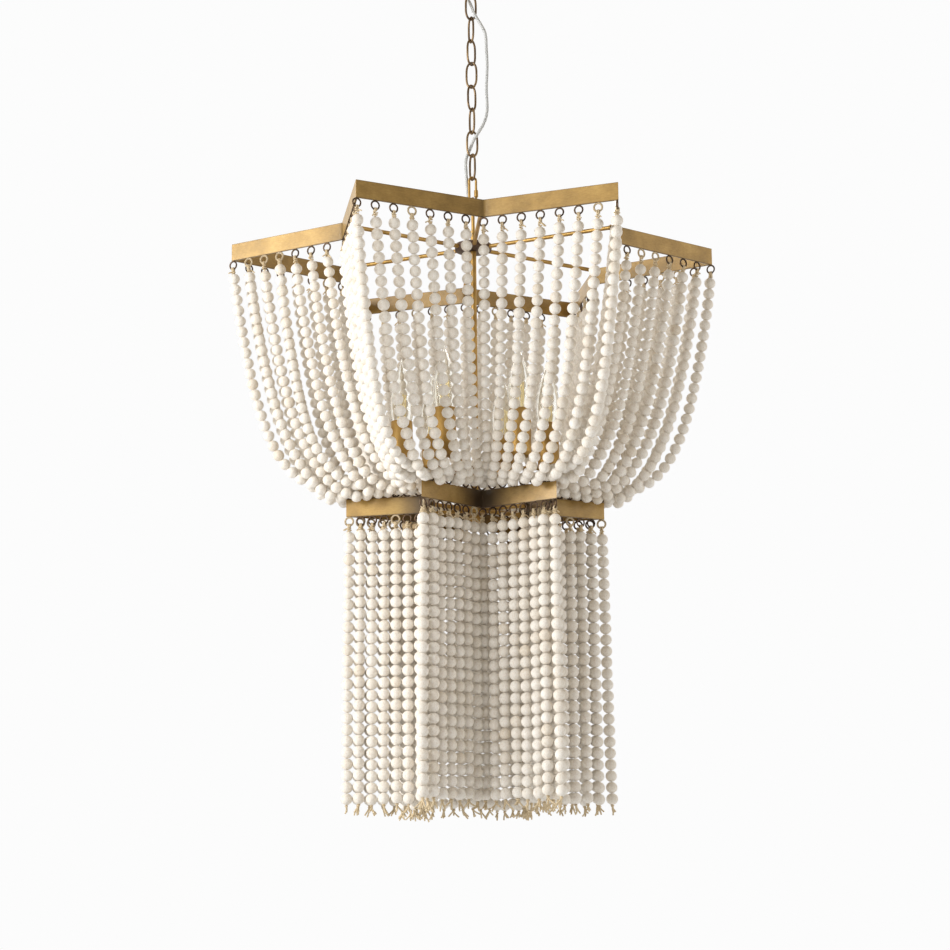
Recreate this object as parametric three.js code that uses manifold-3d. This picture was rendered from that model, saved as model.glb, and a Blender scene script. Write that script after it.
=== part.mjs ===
// Beaded chandelier: two six-pointed star bands, bead swags between them, a bead fringe below,
// six candle lights inside, and a chain with its cord up to a ceiling canopy.
// Millimetres, +Z up. The origin is on the ceiling, on the axis that everything hangs from.

import * as THREE from 'three';
import { mergeVertices } from 'three/addons/utils/BufferGeometryUtils.js';
import Module from 'manifold-3d';

const wasm = await Module();
wasm.setup();

// Clearances that several pieces share
const seatGap = 0.3;
const weldOverlap = 0.5;
const cutOverrun = 2;
const mergeTolerance = 0.0001;

// Ceiling fitting
const strapLength = 100;
const strapWidth = 16;
const strapThickness = 2.5;
const strapSlotLength = 18;
const strapSlotWidth = 5;
const strapSlotFromAxis = 35;
const nippleRadius = 4.8;
const nippleBoreRadius = 3.2;
const nippleGripInCollar = 8;
const lockNutAcrossCorners = 17;
const lockNutHeight = 4;
const canopyRadius = 64;
const canopyDepth = 24;
const canopyWall = 1.2;
const canopyShoulder = 9;
const collarRadius = 13.5;
const collarHeight = 12;
const collarRiseInCanopy = 3.5;
const collarRingRadius = 17;
const collarRingHeight = 7;
const collarWireHoleRadius = 3.5;
const collarWireHoleFromAxis = 9;
const collarEyeRadius = 8.5;
const collarEyeWire = 3.5;
const collarEyeTurnDegrees = 110;

// Chain: each link is turned about the vertical by its own angle
const linkCount = 8;
const linkLength = 42.4;
const linkWidth = 19;
const linkWire = 3.2;
const linkTurnDegrees = [20, 115, 45, 160, 46, 115, 17, 118];

// Screw-lock link between the chain and the eye bolt
const quickLinkLength = 40;
const quickLinkWidth = 13.6;
const quickLinkWire = 3.5;
const quickLinkTurnDegrees = 10;
const quickLinkOpening = 4;
const lockSleeveLength = 10.5;
const lockSleeveRadius = 3;
const lockSleeveBelowCentre = 11.8;

// Eye bolt, its nut and the rod that carries both stars
const eyeRadius = 8;
const eyeWire = 4;
const eyeTurnDegrees = 90;
const boltRadius = 2.5;
const boltGripInRod = 14;
const hubNutRadius = 4.6;
const hubNutHeight = 20;
const hubNutAboveBandTop = 3;
const rodRadius = 4.25;
const finialRadius = 9;
const finialHeight = 15;
const finialShares = [[0, 1], [0.55, 0.9], [1, 0.55], [0.8, 0.2], [0.8, 0], [0, 0]];
const rodShareInFinial = 0.6;

// Star bands: flat bar bent to six points; a valley lies between two tips
const tipCount = 6;
const upperTipRadius = 352;
const upperValleyRadius = 222.5;
const upperTurnDegrees = 3.72;
const lowerTipRadius = 186;
const lowerValleyRadius = 81.3;
const lowerTurnDegrees = 6.57;
const bandHeight = 25;
const bandThickness = 3;
const railHeight = 2;
const railPastValley = 6;
const starSpacing = 379.2;

// Spiders: hubs whose rods run to the valleys of the bands
const upperHubRadius = 27;
const upperHubHeight = 10;
const lowerHubRadius = 15;
const lowerHubHeight = 12;
const spokeRadius = 3;

// Candle lights
const lampRingRadius = 106;
const lampArmDrop = 305;
const lampHubRadius = 17;
const lampHubHeight = 16;
const lampArmRadius = 3;
const lampCupRadius = 17;
const lampCupHeight = 7;
const sleeveRadius = 15.5;
const sleeveWall = 1;
const sleeveHeight = 62;
const socketRadius = 12;
const socketHeight = 50;
const socketBoreRadius = 7.4;
const bulbBaseRadius = 7;
const bulbBaseHeight = 27;
const bulbGlassRadius = 17.5;
const bulbGlassHeight = 107;
const bulbGlassShares = [[0.66, 0.07], [0.94, 0.22], [0.98, 0.42], [0.66, 0.67], [0.2, 0.88]];

// Jump rings and bead strands
const intervalCount = 7;
const ringSize = 13.5;
const ringWire = 2;
const beadDiameter = 16;
const knotLength = 5;
const swagSlackShare = 1.067;
const swagFootAboveBand = 2.4;
const swagTubeWidth = 12;
const swagTubeDepth = 13.5;
const swagTubeShares = [0, 0.4, 0.66, 0.84];
const strandGap = 1.2;
const squareReachShare = 1.21;
const fringeBeadCount = 24;
const fringeTubeWidth = 13;
const fringeTailLength = 14;
const cordNeckWidth = 3;
const tipNeckDepth = 0.8;
const tangentStep = 1;

// Supply cord, beside and through the chain
const cordRadius = 2.25;

// Steps of the round shapes
const turnedSteps = 22;
const smallSteps = 10;
const slotEndSteps = 4;
const lampSteps = 8;
const armSides = 6;
const wireSides = 6;
const wireSteps = 10;
const cordSides = 8;
const cordSteps = 32;

// Levels, counted down from the ceiling
const collarTop = -canopyDepth + collarRiseInCanopy;
const collarBottom = collarTop - collarHeight;
const collarEyeCentre = collarBottom + collarEyeWire / 4 - collarEyeRadius;
const collarEyeFoot = collarEyeCentre - collarEyeRadius;
const firstLinkTop = collarEyeFoot + collarEyeWire / 2 + seatGap + linkWire / 2;
const linkPitch = linkLength - 2 * linkWire - seatGap;
const lastLinkFoot = firstLinkTop - (linkLength - linkWire) - (linkCount - 1) * linkPitch;
const quickLinkTop = lastLinkFoot + linkWire / 2 + seatGap + quickLinkWire / 2;
const quickLinkFoot = quickLinkTop - (quickLinkLength - quickLinkWire);
const quickLinkCentre = (quickLinkTop + quickLinkFoot) / 2;
const eyeTop = quickLinkFoot + quickLinkWire / 2 + seatGap + eyeWire / 2;
const eyeCentre = eyeTop - eyeRadius;
const eyeFoot = eyeCentre - eyeRadius;
const eyeToNut = 34;
const hubNutTop = eyeFoot - eyeToNut;
const hubTop = hubNutTop - hubNutHeight - seatGap;
const bandTop = hubTop - hubNutAboveBandTop;
const upperBandBottom = bandTop - bandHeight;
const lowerBandBottom = upperBandBottom - starSpacing;
const lowerBandTop = lowerBandBottom + bandHeight;
const hubBottom = hubTop - upperHubHeight;
const rodTop = hubBottom - seatGap;
const lowerHubTop = lowerBandBottom + (bandHeight + lowerHubHeight) / 2;
const lowerHubBottom = lowerHubTop - lowerHubHeight;
const lampArmLevel = upperBandBottom - lampArmDrop;

// Materials
const finish = (color, roughness, metalness) => (
  new THREE.MeshStandardMaterial({ color, roughness, metalness }));
const antiqueBrass = finish(0xb98f4c, 0.42, 0.9);
const darkBronze = finish(0x6b5232, 0.45, 0.9);
const whitewashedWood = finish(0xe9e4da, 0.85, 0);
const clearGlass = finish(0xf2efe6, 0.08, 0);
clearGlass.transparent = true;
clearGlass.opacity = 0.35;
const silverCord = finish(0xcfd2d0, 0.5, 0);

const chandelier = new THREE.Group();
chandelier.name = 'beaded_chandelier';

function add(name, geometry, material) {
  const mesh = new THREE.Mesh(geometry, material);
  mesh.name = name;
  chandelier.add(mesh);
  return mesh;
}

// Solids: a closed geometry becomes a solid, solids are joined or cut, and the result is a geometry again
function solid(geometry) {
  const bare = geometry.clone();
  bare.deleteAttribute('normal');
  bare.deleteAttribute('uv');
  const merged = mergeVertices(bare, mergeTolerance);
  const corners = merged.index.array;
  const kept = [];
  for (let i = 0; i < corners.length; i += 3) {
    const [a, b, c] = [corners[i], corners[i + 1], corners[i + 2]];
    if (a !== b && b !== c && c !== a) kept.push(a, b, c);
  }
  return new wasm.Manifold(new wasm.Mesh({
    numProp: 3,
    vertProperties: new Float32Array(merged.attributes.position.array),
    triVerts: new Uint32Array(kept),
  }));
}

function geometryOf(body) {
  const mesh = body.getMesh();
  const geometry = new THREE.BufferGeometry();
  geometry.setAttribute('position', new THREE.BufferAttribute(new Float32Array(mesh.vertProperties), 3));
  geometry.setIndex(new THREE.BufferAttribute(new Uint32Array(mesh.triVerts), 1));
  geometry.computeVertexNormals();
  return geometry;
}

const joined = (...geometries) => geometryOf(geometries.map(solid).reduce((whole, next) => whole.add(next)));
const cut = (geometry, ...tools) => (
  geometryOf(tools.map(solid).reduce((rest, tool) => rest.subtract(tool), solid(geometry))));

// Turned piece: profile points are [radius, height], from the axis round to the axis, or a closed outline
function turned(profile, steps = turnedSteps) {
  const points = profile.map(([radius, height]) => new THREE.Vector2(radius, height));
  return new THREE.LatheGeometry(points, steps).rotateX(Math.PI / 2);
}

function cylinder(radius, bottom, top, steps = turnedSteps) {
  return new THREE.CylinderGeometry(radius, radius, top - bottom, steps)
    .rotateX(Math.PI / 2)
    .translate(0, 0, (top + bottom) / 2);
}

function tube(outer, inner, bottom, top, steps = turnedSteps) {
  return turned([[inner, bottom], [outer, bottom], [outer, top], [inner, top], [inner, bottom]], steps);
}

function block(length, width, bottom, top) {
  return new THREE.BoxGeometry(length, width, top - bottom).translate(0, 0, (top + bottom) / 2);
}

// Horizontal rod that runs out from the axis
function radialRod(radius, from, to, level, angle, steps = smallSteps) {
  return new THREE.CylinderGeometry(radius, radius, to - from, steps)
    .rotateZ(Math.PI / 2)
    .translate((from + to) / 2, 0, level)
    .rotateZ(angle);
}

// Ring of round wire that stands upright, drawn out to the given length: a torus whose halves move
// apart. Its steps are turned so that one corner is at the very top and one at the very foot
function wireRing(length, width, wire) {
  const radius = (width - wire) / 2;
  const ring = new THREE.TorusGeometry(radius, wire / 2, wireSides, wireSteps).rotateZ(Math.PI / wireSteps);
  const lift = (length - width) / 2;
  const place = ring.attributes.position;
  for (let i = 0; i < place.count; i += 1) {
    place.setY(i, place.getY(i) + Math.sign(place.getY(i)) * lift);
  }
  return ring.rotateX(Math.PI / 2);
}

const radians = THREE.MathUtils.degToRad;
const polar = (radius, angle) => new THREE.Vector2(radius * Math.cos(angle), radius * Math.sin(angle));
const numbers = (count) => [...Array(count).keys()];

const upperStar = {
  tipRadius: upperTipRadius,
  valleyRadius: upperValleyRadius,
  turn: radians(upperTurnDegrees),
  bottom: upperBandBottom,
};
const lowerStar = {
  tipRadius: lowerTipRadius,
  valleyRadius: lowerValleyRadius,
  turn: radians(lowerTurnDegrees),
  bottom: lowerBandBottom,
};

// Star outline: tips and valleys in turn, anticlockwise, drawn in from the outer outline by inset
function starOutline(star, inset = 0) {
  const outer = numbers(2 * tipCount).map((i) => {
    const radius = i % 2 ? star.valleyRadius : star.tipRadius;
    return polar(radius, star.turn + (i * Math.PI) / tipCount);
  });
  return outer.map((corner, i) => movedIn(outer.at(i - 1), corner, outer[(i + 1) % outer.length], inset));
}

// Corner of a path moved to its left by inset, keeping its two sides parallel to the old ones
function movedIn(before, corner, after, inset) {
  const arriving = corner.clone().sub(before).normalize();
  const leaving = after.clone().sub(corner).normalize();
  const bisector = new THREE.Vector2(-arriving.y - leaving.y, arriving.x + leaving.x).normalize();
  const share = bisector.x * -leaving.y + bisector.y * leaving.x;
  return corner.clone().addScaledVector(bisector, inset / share);
}

function prism(outline, bottom, top, hole = null) {
  const shape = new THREE.Shape(outline);
  if (hole) shape.holes.push(new THREE.Path(hole));
  const settings = { depth: top - bottom, bevelEnabled: false };
  return new THREE.ExtrudeGeometry(shape, settings).translate(0, 0, bottom);
}

// Strip of bar along an open path, its outer face on the outer outline
function strip(path, bottom, top) {
  const first = path[0].clone().multiplyScalar(2).sub(path[1]);
  const last = path.at(-1).clone().multiplyScalar(2).sub(path.at(-2));
  const ends = [first, ...path, last];
  const side = (inset) => path.map((corner, i) => movedIn(ends[i], corner, ends[i + 2], inset));
  return prism([...side(-bandThickness / 2), ...side(bandThickness / 2).reverse()], bottom, top);
}

// Closed mesh from points and the corner numbers of its faces
function skin(points, faces) {
  const geometry = new THREE.BufferGeometry();
  const numbersOf = points.flatMap((point) => [point.x, point.y, point.z]);
  geometry.setAttribute('position', new THREE.Float32BufferAttribute(numbersOf, 3));
  geometry.setIndex(faces);
  geometry.computeVertexNormals();
  return geometry;
}

// Sides between sections of four corners that follow each other in a list of points, and the end of the last
function sectionSides(first, count) {
  const faces = [];
  for (let i = 0; i < count - 1; i += 1) {
    for (let k = 0; k < 4; k += 1) {
      const a = first + i * 4 + k;
      const b = first + i * 4 + ((k + 1) % 4);
      faces.push(a, b, b + 4, a, b + 4, a + 4);
    }
  }
  const end = first + (count - 1) * 4;
  faces.push(end, end + 1, end + 2, end, end + 2, end + 3);
  return faces;
}

function loft(sections) {
  return skin(sections.flat(), [...sectionSides(0, sections.length), 0, 2, 1, 0, 3, 2]);
}

// Four corners around a point: across runs along the strand's side, out is its other side
function section(centre, across, out, width, depth) {
  const corner = (i, k) => centre.clone()
    .addScaledVector(across, (i * width) / 2)
    .addScaledVector(out, (k * depth) / 2);
  return [corner(-1, -1), corner(1, -1), corner(1, 1), corner(-1, 1)];
}

// Hanging line of the given length between two ends: a catenary, as [across, down] at a length from its top
function hangingLine(span, drop, length) {
  const slack = Math.sqrt(length * length - drop * drop) / span;
  let [low, high] = [0, 20];
  for (let i = 0; i < 60; i += 1) {
    const middle = (low + high) / 2;
    if (Math.sinh(middle) / middle < slack) low = middle;
    else high = middle;
  }
  const scale = span / (2 * low);
  const lowest = Math.atanh(drop / length) * scale;
  const topAcross = lowest + span / 2;
  const topLength = scale * Math.sinh(topAcross / scale);
  const topHeight = scale * Math.cosh(topAcross / scale);
  return (along) => {
    const across = scale * Math.asinh((topLength - along) / scale);
    return [topAcross - across, scale * Math.cosh(across / scale) - topHeight];
  };
}

// Ring places along a star's centreline: one at each tip and valley, the rest evenly between them
function ringPlaces(centreline) {
  const places = [];
  centreline.forEach((start, i) => {
    const end = centreline[(i + 1) % centreline.length];
    for (let k = 0; k < intervalCount; k += 1) {
      places.push({
        point: start.clone().lerp(end, k / intervalCount),
        along: end.clone().sub(start).normalize(),
      });
    }
  });
  return places;
}

// Jump ring under a band's edge, flat to the band's face, its top let into the edge and its foot opened
// into the strand's sections; without sections the foot is closed
function jumpRing(place, edgeLevel, sections = []) {
  const radius = ringSize / 2;
  const inner = radius - ringWire / Math.cos(Math.PI / 4);
  const neck = cordNeckWidth / 2;
  const outline = [
    [-neck, neck - radius], [neck, neck - radius], [radius, 0], [0, radius], [-radius, 0],
    [0, -inner], [inner, 0], [0, inner], [-inner, 0],
  ];
  const along = new THREE.Vector3(place.along.x, place.along.y, 0);
  const out = new THREE.Vector3(place.along.y, -place.along.x, 0);
  const centre = new THREE.Vector3(place.point.x, place.point.y, edgeLevel + weldOverlap - radius);
  const points = [-1, 1].flatMap((side) => outline.map(([u, w]) => centre.clone()
    .addScaledVector(along, u)
    .addScaledVector(out, (side * ringWire) / 2)
    .setZ(centre.z + w)));
  const front = outline.length;
  const faces = [];
  const quad = (a, b, c, d) => faces.push(a, b, c, a, c, d);
  const bothFaces = (...corners) => {
    for (let i = 1; i + 1 < corners.length; i += 1) {
      faces.push(corners[0] + front, corners[i] + front, corners[i + 1] + front);
      faces.push(corners[0], corners[i + 1], corners[i]);
    }
  };
  bothFaces(3, 7, 6, 2);
  bothFaces(2, 6, 5, 1);
  bothFaces(1, 5, 0);
  bothFaces(0, 5, 8, 4);
  bothFaces(4, 8, 7, 3);
  const rims = [[1, 2], [2, 3], [3, 4], [4, 0], [7, 6], [6, 5], [5, 8], [8, 7]];
  rims.forEach(([a, b]) => quad(a, b, b + front, a + front));
  const foot = [0, 1, 1 + front, front];
  if (!sections.length) {
    quad(...foot);
    return skin(points, faces);
  }
  const turns = numbers(4).map((turn) => foot.reduce((sum, corner, k) => (
    sum + points[corner].distanceToSquared(sections[0][(k + turn) % 4])), 0));
  const turn = turns.indexOf(Math.min(...turns));
  const first = points.length;
  sections.forEach((corners) => points.push(...numbers(4).map((k) => corners[(k + turn) % 4])));
  numbers(4).forEach((k) => quad(foot[k], foot[(k + 1) % 4], first + ((k + 1) % 4), first + k));
  return skin(points, [...faces, ...sectionSides(first, sections.length)]);
}

const ringFoot = ringSize - weldOverlap;
const swagTop = upperBandBottom - ringFoot + cordNeckWidth / 2;
const swagFoot = lowerBandTop + swagFootAboveBand;

// Ceiling fitting
function ceilingFitting() {
  const slotEnd = strapSlotWidth / 2;
  const slotOutline = [1, -1].flatMap((side) => numbers(slotEndSteps + 1).map((i) => (
    polar(slotEnd, (i / slotEndSteps - side / 2) * Math.PI)
      .add(new THREE.Vector2(side * (strapSlotLength / 2 - slotEnd), 0)))));
  const slot = (side) => prism(slotOutline, -strapThickness - cutOverrun, cutOverrun)
    .translate(side * strapSlotFromAxis, 0, 0);
  const hole = cylinder(nippleRadius + seatGap, -strapThickness - cutOverrun, cutOverrun);
  const bar = block(strapLength, strapWidth, -strapThickness, 0);
  add('mounting_strap', cut(bar, hole, slot(-1), slot(1)), darkBronze);

  const nipple = tube(nippleRadius, nippleBoreRadius, collarTop - nippleGripInCollar, 0, smallSteps);
  add('threaded_nipple', nipple, darkBronze);

  const nutTop = -strapThickness - seatGap;
  const hexagon = cylinder(lockNutAcrossCorners / 2, nutTop - lockNutHeight, nutTop, 6);
  const nutFoot = nutTop - lockNutHeight;
  const thread = cylinder(nippleRadius + seatGap, nutFoot - cutOverrun, nutTop + cutOverrun, smallSteps);
  add('lock_nut', cut(hexagon, thread), darkBronze);

  const holeRadius = collarRadius + seatGap;
  const inner = canopyRadius - canopyWall;
  const flat = canopyRadius - canopyShoulder;
  add('canopy', turned([
    [holeRadius, -canopyDepth],
    [flat, -canopyDepth],
    [canopyRadius, -canopyDepth + canopyShoulder],
    [canopyRadius, -seatGap],
    [inner, -seatGap],
    [inner, -canopyDepth + canopyShoulder],
    [flat, -canopyDepth + canopyWall],
    [holeRadius, -canopyDepth + canopyWall],
    [holeRadius, -canopyDepth],
  ]), antiqueBrass);

  const ringTop = -canopyDepth - seatGap;
  const screwRing = tube(collarRingRadius, collarRadius + seatGap, ringTop - collarRingHeight, ringTop);
  add('collar_ring', screwRing, antiqueBrass);

  const barrel = cylinder(collarRadius, collarBottom, collarTop);
  const eyeSize = 2 * collarEyeRadius + collarEyeWire;
  const eye = wireRing(eyeSize, eyeSize, collarEyeWire)
    .rotateZ(radians(collarEyeTurnDegrees))
    .translate(0, 0, collarEyeCentre);
  const boreFoot = collarTop - nippleGripInCollar - seatGap;
  const over = collarTop + cutOverrun;
  const bore = cylinder(nippleRadius + seatGap, boreFoot, over, smallSteps);
  const wireHole = cylinder(collarWireHoleRadius, collarBottom - cutOverrun, over, smallSteps)
    .translate(-collarWireHoleFromAxis, 0, 0);
  add('collar_loop', cut(joined(barrel, eye), bore, wireHole), antiqueBrass);
}

// Chain, screw-lock link and eye bolt
function chain() {
  for (let i = 0; i < linkCount; i += 1) {
    const centre = firstLinkTop - (linkLength - linkWire) / 2 - i * linkPitch;
    add(`chain_link_${i + 1}`, wireRing(linkLength, linkWidth, linkWire)
      .rotateZ(radians(linkTurnDegrees[i]))
      .translate(0, 0, centre), darkBronze);
  }
}

function quickLink() {
  const barFromAxis = (quickLinkWidth - quickLinkWire) / 2;
  const sleeveCentre = quickLinkCentre - lockSleeveBelowCentre + lockSleeveLength / 2;
  const openingWidth = quickLinkWire * 2;
  const openingFoot = sleeveCentre - quickLinkOpening / 2;
  const opening = block(openingWidth, openingWidth, openingFoot, openingFoot + quickLinkOpening)
    .translate(barFromAxis, 0, 0);
  const closed = wireRing(quickLinkLength, quickLinkWidth, quickLinkWire).translate(0, 0, quickLinkCentre);
  const turn = radians(quickLinkTurnDegrees);
  add('quick_link', cut(closed, opening).rotateZ(turn), darkBronze);
  const sleeveFoot = sleeveCentre - lockSleeveLength / 2;
  const sleeveTop = sleeveFoot + lockSleeveLength;
  const sleeve = tube(lockSleeveRadius, quickLinkWire / 2 + seatGap, sleeveFoot, sleeveTop, smallSteps);
  add('lock_sleeve', sleeve.translate(barFromAxis, 0, 0).rotateZ(turn), antiqueBrass);
}

function eyeBolt() {
  const eye = wireRing(2 * eyeRadius + eyeWire, 2 * eyeRadius + eyeWire, eyeWire)
    .rotateZ(radians(eyeTurnDegrees))
    .translate(0, 0, eyeCentre);
  const shank = cylinder(boltRadius, rodTop - boltGripInRod + seatGap, eyeFoot, smallSteps);
  add('eye_bolt', joined(eye, shank), antiqueBrass);
  const nut = tube(hubNutRadius, boltRadius + seatGap, hubNutTop - hubNutHeight, hubNutTop, smallSteps);
  add('hub_nut', nut, antiqueBrass);
}

// Frame: rod, spiders and star bands
function frame() {
  const hubHole = cylinder(boltRadius + seatGap, hubBottom - cutOverrun, hubTop + cutOverrun, smallSteps);
  const upperRods = spider(upperStar, upperHubRadius, hubBottom, hubTop, bandTop - spokeRadius);
  add('upper_spider', cut(upperRods, hubHole), antiqueBrass);

  const rodBore = cylinder(boltRadius + seatGap, rodTop - boltGripInRod, rodTop + cutOverrun, smallSteps);
  const rodFoot = lowerHubBottom - finialHeight * rodShareInFinial;
  add('centre_rod', cut(cylinder(rodRadius, rodFoot, rodTop, smallSteps), rodBore), antiqueBrass);

  const lowerLevel = (lowerHubTop + lowerHubBottom) / 2;
  const lowerRods = spider(lowerStar, lowerHubRadius, lowerHubBottom, lowerHubTop, lowerLevel);
  const underHub = lowerHubBottom - cutOverrun;
  const rodHole = cylinder(rodRadius + seatGap, underHub, lowerHubTop + cutOverrun, smallSteps);
  add('lower_spider', cut(lowerRods, rodHole), antiqueBrass);

  const finialTop = lowerHubBottom - seatGap;
  const finialOutline = finialShares.map(([r, h]) => [finialRadius * r, finialTop - finialHeight * h]);
  const finial = turned(finialOutline, smallSteps);
  const finialBore = cylinder(rodRadius + seatGap, rodFoot - seatGap, finialTop + cutOverrun, smallSteps);
  add('finial_nut', cut(finial, finialBore), antiqueBrass);

  band('upper_star_band', upperStar);
  band('lower_star_band', lowerStar);
}

// Hub with a rod to each valley of its star, ending just short of the band's inner face
function spider(star, hubRadius, bottom, top, level) {
  const valley = starOutline(star, bandThickness)[1].length();
  const rods = numbers(tipCount).map((i) => {
    const angle = star.turn + ((2 * i + 1) * Math.PI) / tipCount;
    return radialRod(spokeRadius, hubRadius / 2, valley - seatGap, level, angle, armSides);
  });
  return joined(cylinder(hubRadius, bottom, top), ...rods);
}

// The band stands on the rail, the bottom strip of the same bar, which carries the rings
function band(name, star) {
  const inner = starOutline(star, bandThickness);
  const foot = star.bottom + railHeight + seatGap;
  add(name, prism(starOutline(star), foot, star.bottom + bandHeight, inner), antiqueBrass);
}

// Candle lights
function lamps() {
  const cupTop = lampArmLevel + lampCupHeight / 2;
  const cupBottom = cupTop - lampCupHeight;
  const mouth = cupTop + socketHeight;
  const boreFoot = mouth - bulbBaseHeight - seatGap;
  const angleOf = (i) => lowerStar.turn + (i * 2 * Math.PI) / tipCount;
  const places = numbers(tipCount).map((i) => polar(lampRingRadius, angleOf(i)));
  const socket = [
    [0, cupBottom],
    [lampCupRadius, cupBottom],
    [lampCupRadius, cupTop],
    [socketRadius, cupTop],
    [socketRadius, mouth],
    [socketBoreRadius, mouth],
    [socketBoreRadius, boreFoot],
    [0, boreFoot],
  ];
  const arms = places.flatMap((at) => [
    turned(socket, lampSteps).translate(at.x, at.y, 0),
    radialRod(lampArmRadius, lampHubRadius / 2, lampRingRadius, lampArmLevel, at.angle(), armSides),
  ]);
  const hubFoot = lampArmLevel - lampHubHeight / 2;
  const hubHead = hubFoot + lampHubHeight;
  const hub = cylinder(lampHubRadius, hubFoot, hubHead, smallSteps);
  const rodHole = cylinder(rodRadius + seatGap, hubFoot - cutOverrun, hubHead + cutOverrun, smallSteps);
  add('lamp_arms', cut(joined(hub, ...arms), rodHole), antiqueBrass);

  places.forEach((at, i) => {
    const foot = cupTop + seatGap;
    const sleeve = tube(sleeveRadius, sleeveRadius - sleeveWall, foot, foot + sleeveHeight, smallSteps);
    add(`candle_sleeve_${i + 1}`, sleeve.translate(at.x, at.y, 0), antiqueBrass);
    add(`bulb_${i + 1}`, bulb(mouth).translate(at.x, at.y, 0), clearGlass);
  });
}

// Bulb: screw base below the socket's mouth, glass above it drawn out to a flame tip
function bulb(mouth) {
  return turned([
    [0, mouth - bulbBaseHeight],
    [bulbBaseRadius, mouth - bulbBaseHeight],
    [bulbBaseRadius, mouth],
    ...bulbGlassShares.map(([r, h]) => [bulbGlassRadius * r, mouth + bulbGlassHeight * h]),
    [0, mouth + bulbGlassHeight],
  ], lampSteps);
}

// Beads on a swag: enough that the strand is longer than the widest gap between its two rings
function swagBeadCount(upperPlaces, lowerPlaces) {
  const gaps = upperPlaces.map((place, i) => (
    Math.hypot(place.point.distanceTo(lowerPlaces[i].point), swagTop - swagFoot)));
  return Math.round((Math.max(...gaps) * swagSlackShare - knotLength) / beadDiameter);
}

// Bead curtains: the strands of one point of a star, fused to a slice of the bar that carries their rings
function swagSections(upperPlaces, lowerPlaces, i, beadCount) {
  const [from, to] = [upperPlaces[i].point, lowerPlaces[i].point];
  const span = from.distanceTo(to);
  const inward = to.clone().sub(from).normalize();
  const across = new THREE.Vector3(-inward.y, inward.x, 0);
  const length = knotLength + beadCount * beadDiameter;
  const line = hangingLine(span, swagTop - swagFoot, length);
  const at = (along) => {
    const [u, z] = line(along);
    return new THREE.Vector3(from.x + inward.x * u, from.y + inward.y * u, swagTop + z);
  };
  const room = (share) => Math.min(...[1, -1].map((step) => {
    const k = (i + step + upperPlaces.length) % upperPlaces.length;
    const beside = upperPlaces[k].point.clone().lerp(lowerPlaces[k].point, share);
    return Math.abs(beside.sub(from.clone().lerp(to, share)).cross(inward));
  }));
  const crossing = (along, width, depth) => {
    const tangent = at(Math.min(along + tangentStep, length)).sub(at(along - tangentStep)).normalize();
    return section(at(along), across, new THREE.Vector3().crossVectors(tangent, across), width, depth);
  };
  const body = swagTubeShares.map((share) => {
    const along = knotLength + share * (length - knotLength);
    const width = Math.min(swagTubeWidth, room(line(along)[0] / span) - strandGap);
    return crossing(along, width, swagTubeDepth);
  });
  return [...body, crossing(length, cordNeckWidth, cordNeckWidth)];
}

function fringeSections(place, top, tubeWidth) {
  const across = new THREE.Vector3(place.along.x, place.along.y, 0);
  const out = new THREE.Vector3(place.along.y, -place.along.x, 0);
  const beadLength = fringeBeadCount * beadDiameter;
  return [
    [knotLength, tubeWidth],
    [knotLength + beadLength, tubeWidth],
    [knotLength + beadLength + fringeTailLength, cordNeckWidth],
  ].map(([down, width]) => {
    const middle = new THREE.Vector3(place.point.x, place.point.y, top - down);
    return section(middle, across, out, width, width);
  });
}

// Slice of the bar for one star point, from just past the valley before it to just past the valley after it
function pointRail(centreline, point, bottom) {
  const corner = (step) => centreline[(2 * point + step + centreline.length) % centreline.length];
  const past = (from, to, distance) => (
    from.clone().addScaledVector(to.clone().sub(from).normalize(), distance));
  const start = past(corner(-1), corner(0), railPastValley + seatGap);
  const end = past(corner(1), corner(2), railPastValley);
  return strip([start, corner(0), corner(1), end], bottom, bottom + railHeight);
}

function curtains() {
  const upperLine = starOutline(upperStar, bandThickness / 2);
  const lowerLine = starOutline(lowerStar, bandThickness / 2);
  const upperPlaces = ringPlaces(upperLine);
  const lowerPlaces = ringPlaces(lowerLine);
  const perPoint = 2 * intervalCount;
  const beadCount = swagBeadCount(upperPlaces, lowerPlaces);
  const fringeTop = lowerBandBottom - ringFoot;
  const ringSpacing = lowerPlaces[0].point.distanceTo(lowerPlaces[1].point);
  const tubeWidth = Math.min(fringeTubeWidth, (ringSpacing - strandGap) / squareReachShare);
  numbers(tipCount).forEach((point) => {
    const tipIndex = point * perPoint;
    const members = numbers(perPoint).map((i) => (
      (tipIndex - intervalCount + 1 + i + upperPlaces.length) % upperPlaces.length));

    const swags = members.map((i) => (
      jumpRing(upperPlaces[i], upperBandBottom, swagSections(upperPlaces, lowerPlaces, i, beadCount))));
    const upperRail = pointRail(upperLine, point, upperBandBottom);
    add(`swag_point_${point + 1}`, joined(upperRail, ...swags), whitewashedWood);

    const fringe = members.map((i) => {
      const sections = i === tipIndex ? [] : fringeSections(lowerPlaces[i], fringeTop, tubeWidth);
      return jumpRing(lowerPlaces[i], lowerBandBottom, sections);
    });
    const lowerRail = pointRail(lowerLine, point, lowerBandBottom);
    add(`fringe_point_${point + 1}`, joined(lowerRail, ...fringe), whitewashedWood);

    const tip = lowerPlaces[tipIndex].point;
    const outward = tip.clone().normalize();
    const place = { point: tip, along: new THREE.Vector2(-outward.y, outward.x) };
    const neck = section(new THREE.Vector3(tip.x, tip.y, fringeTop + cordNeckWidth / 2 - seatGap),
      new THREE.Vector3(place.along.x, place.along.y, 0), new THREE.Vector3(outward.x, outward.y, 0),
      cordNeckWidth, tipNeckDepth);
    const tipStrand = loft([neck, ...fringeSections(place, fringeTop, tubeWidth)]);
    add(`fringe_tip_strand_${point + 1}`, tipStrand, whitewashedWood);
  });
}

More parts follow.
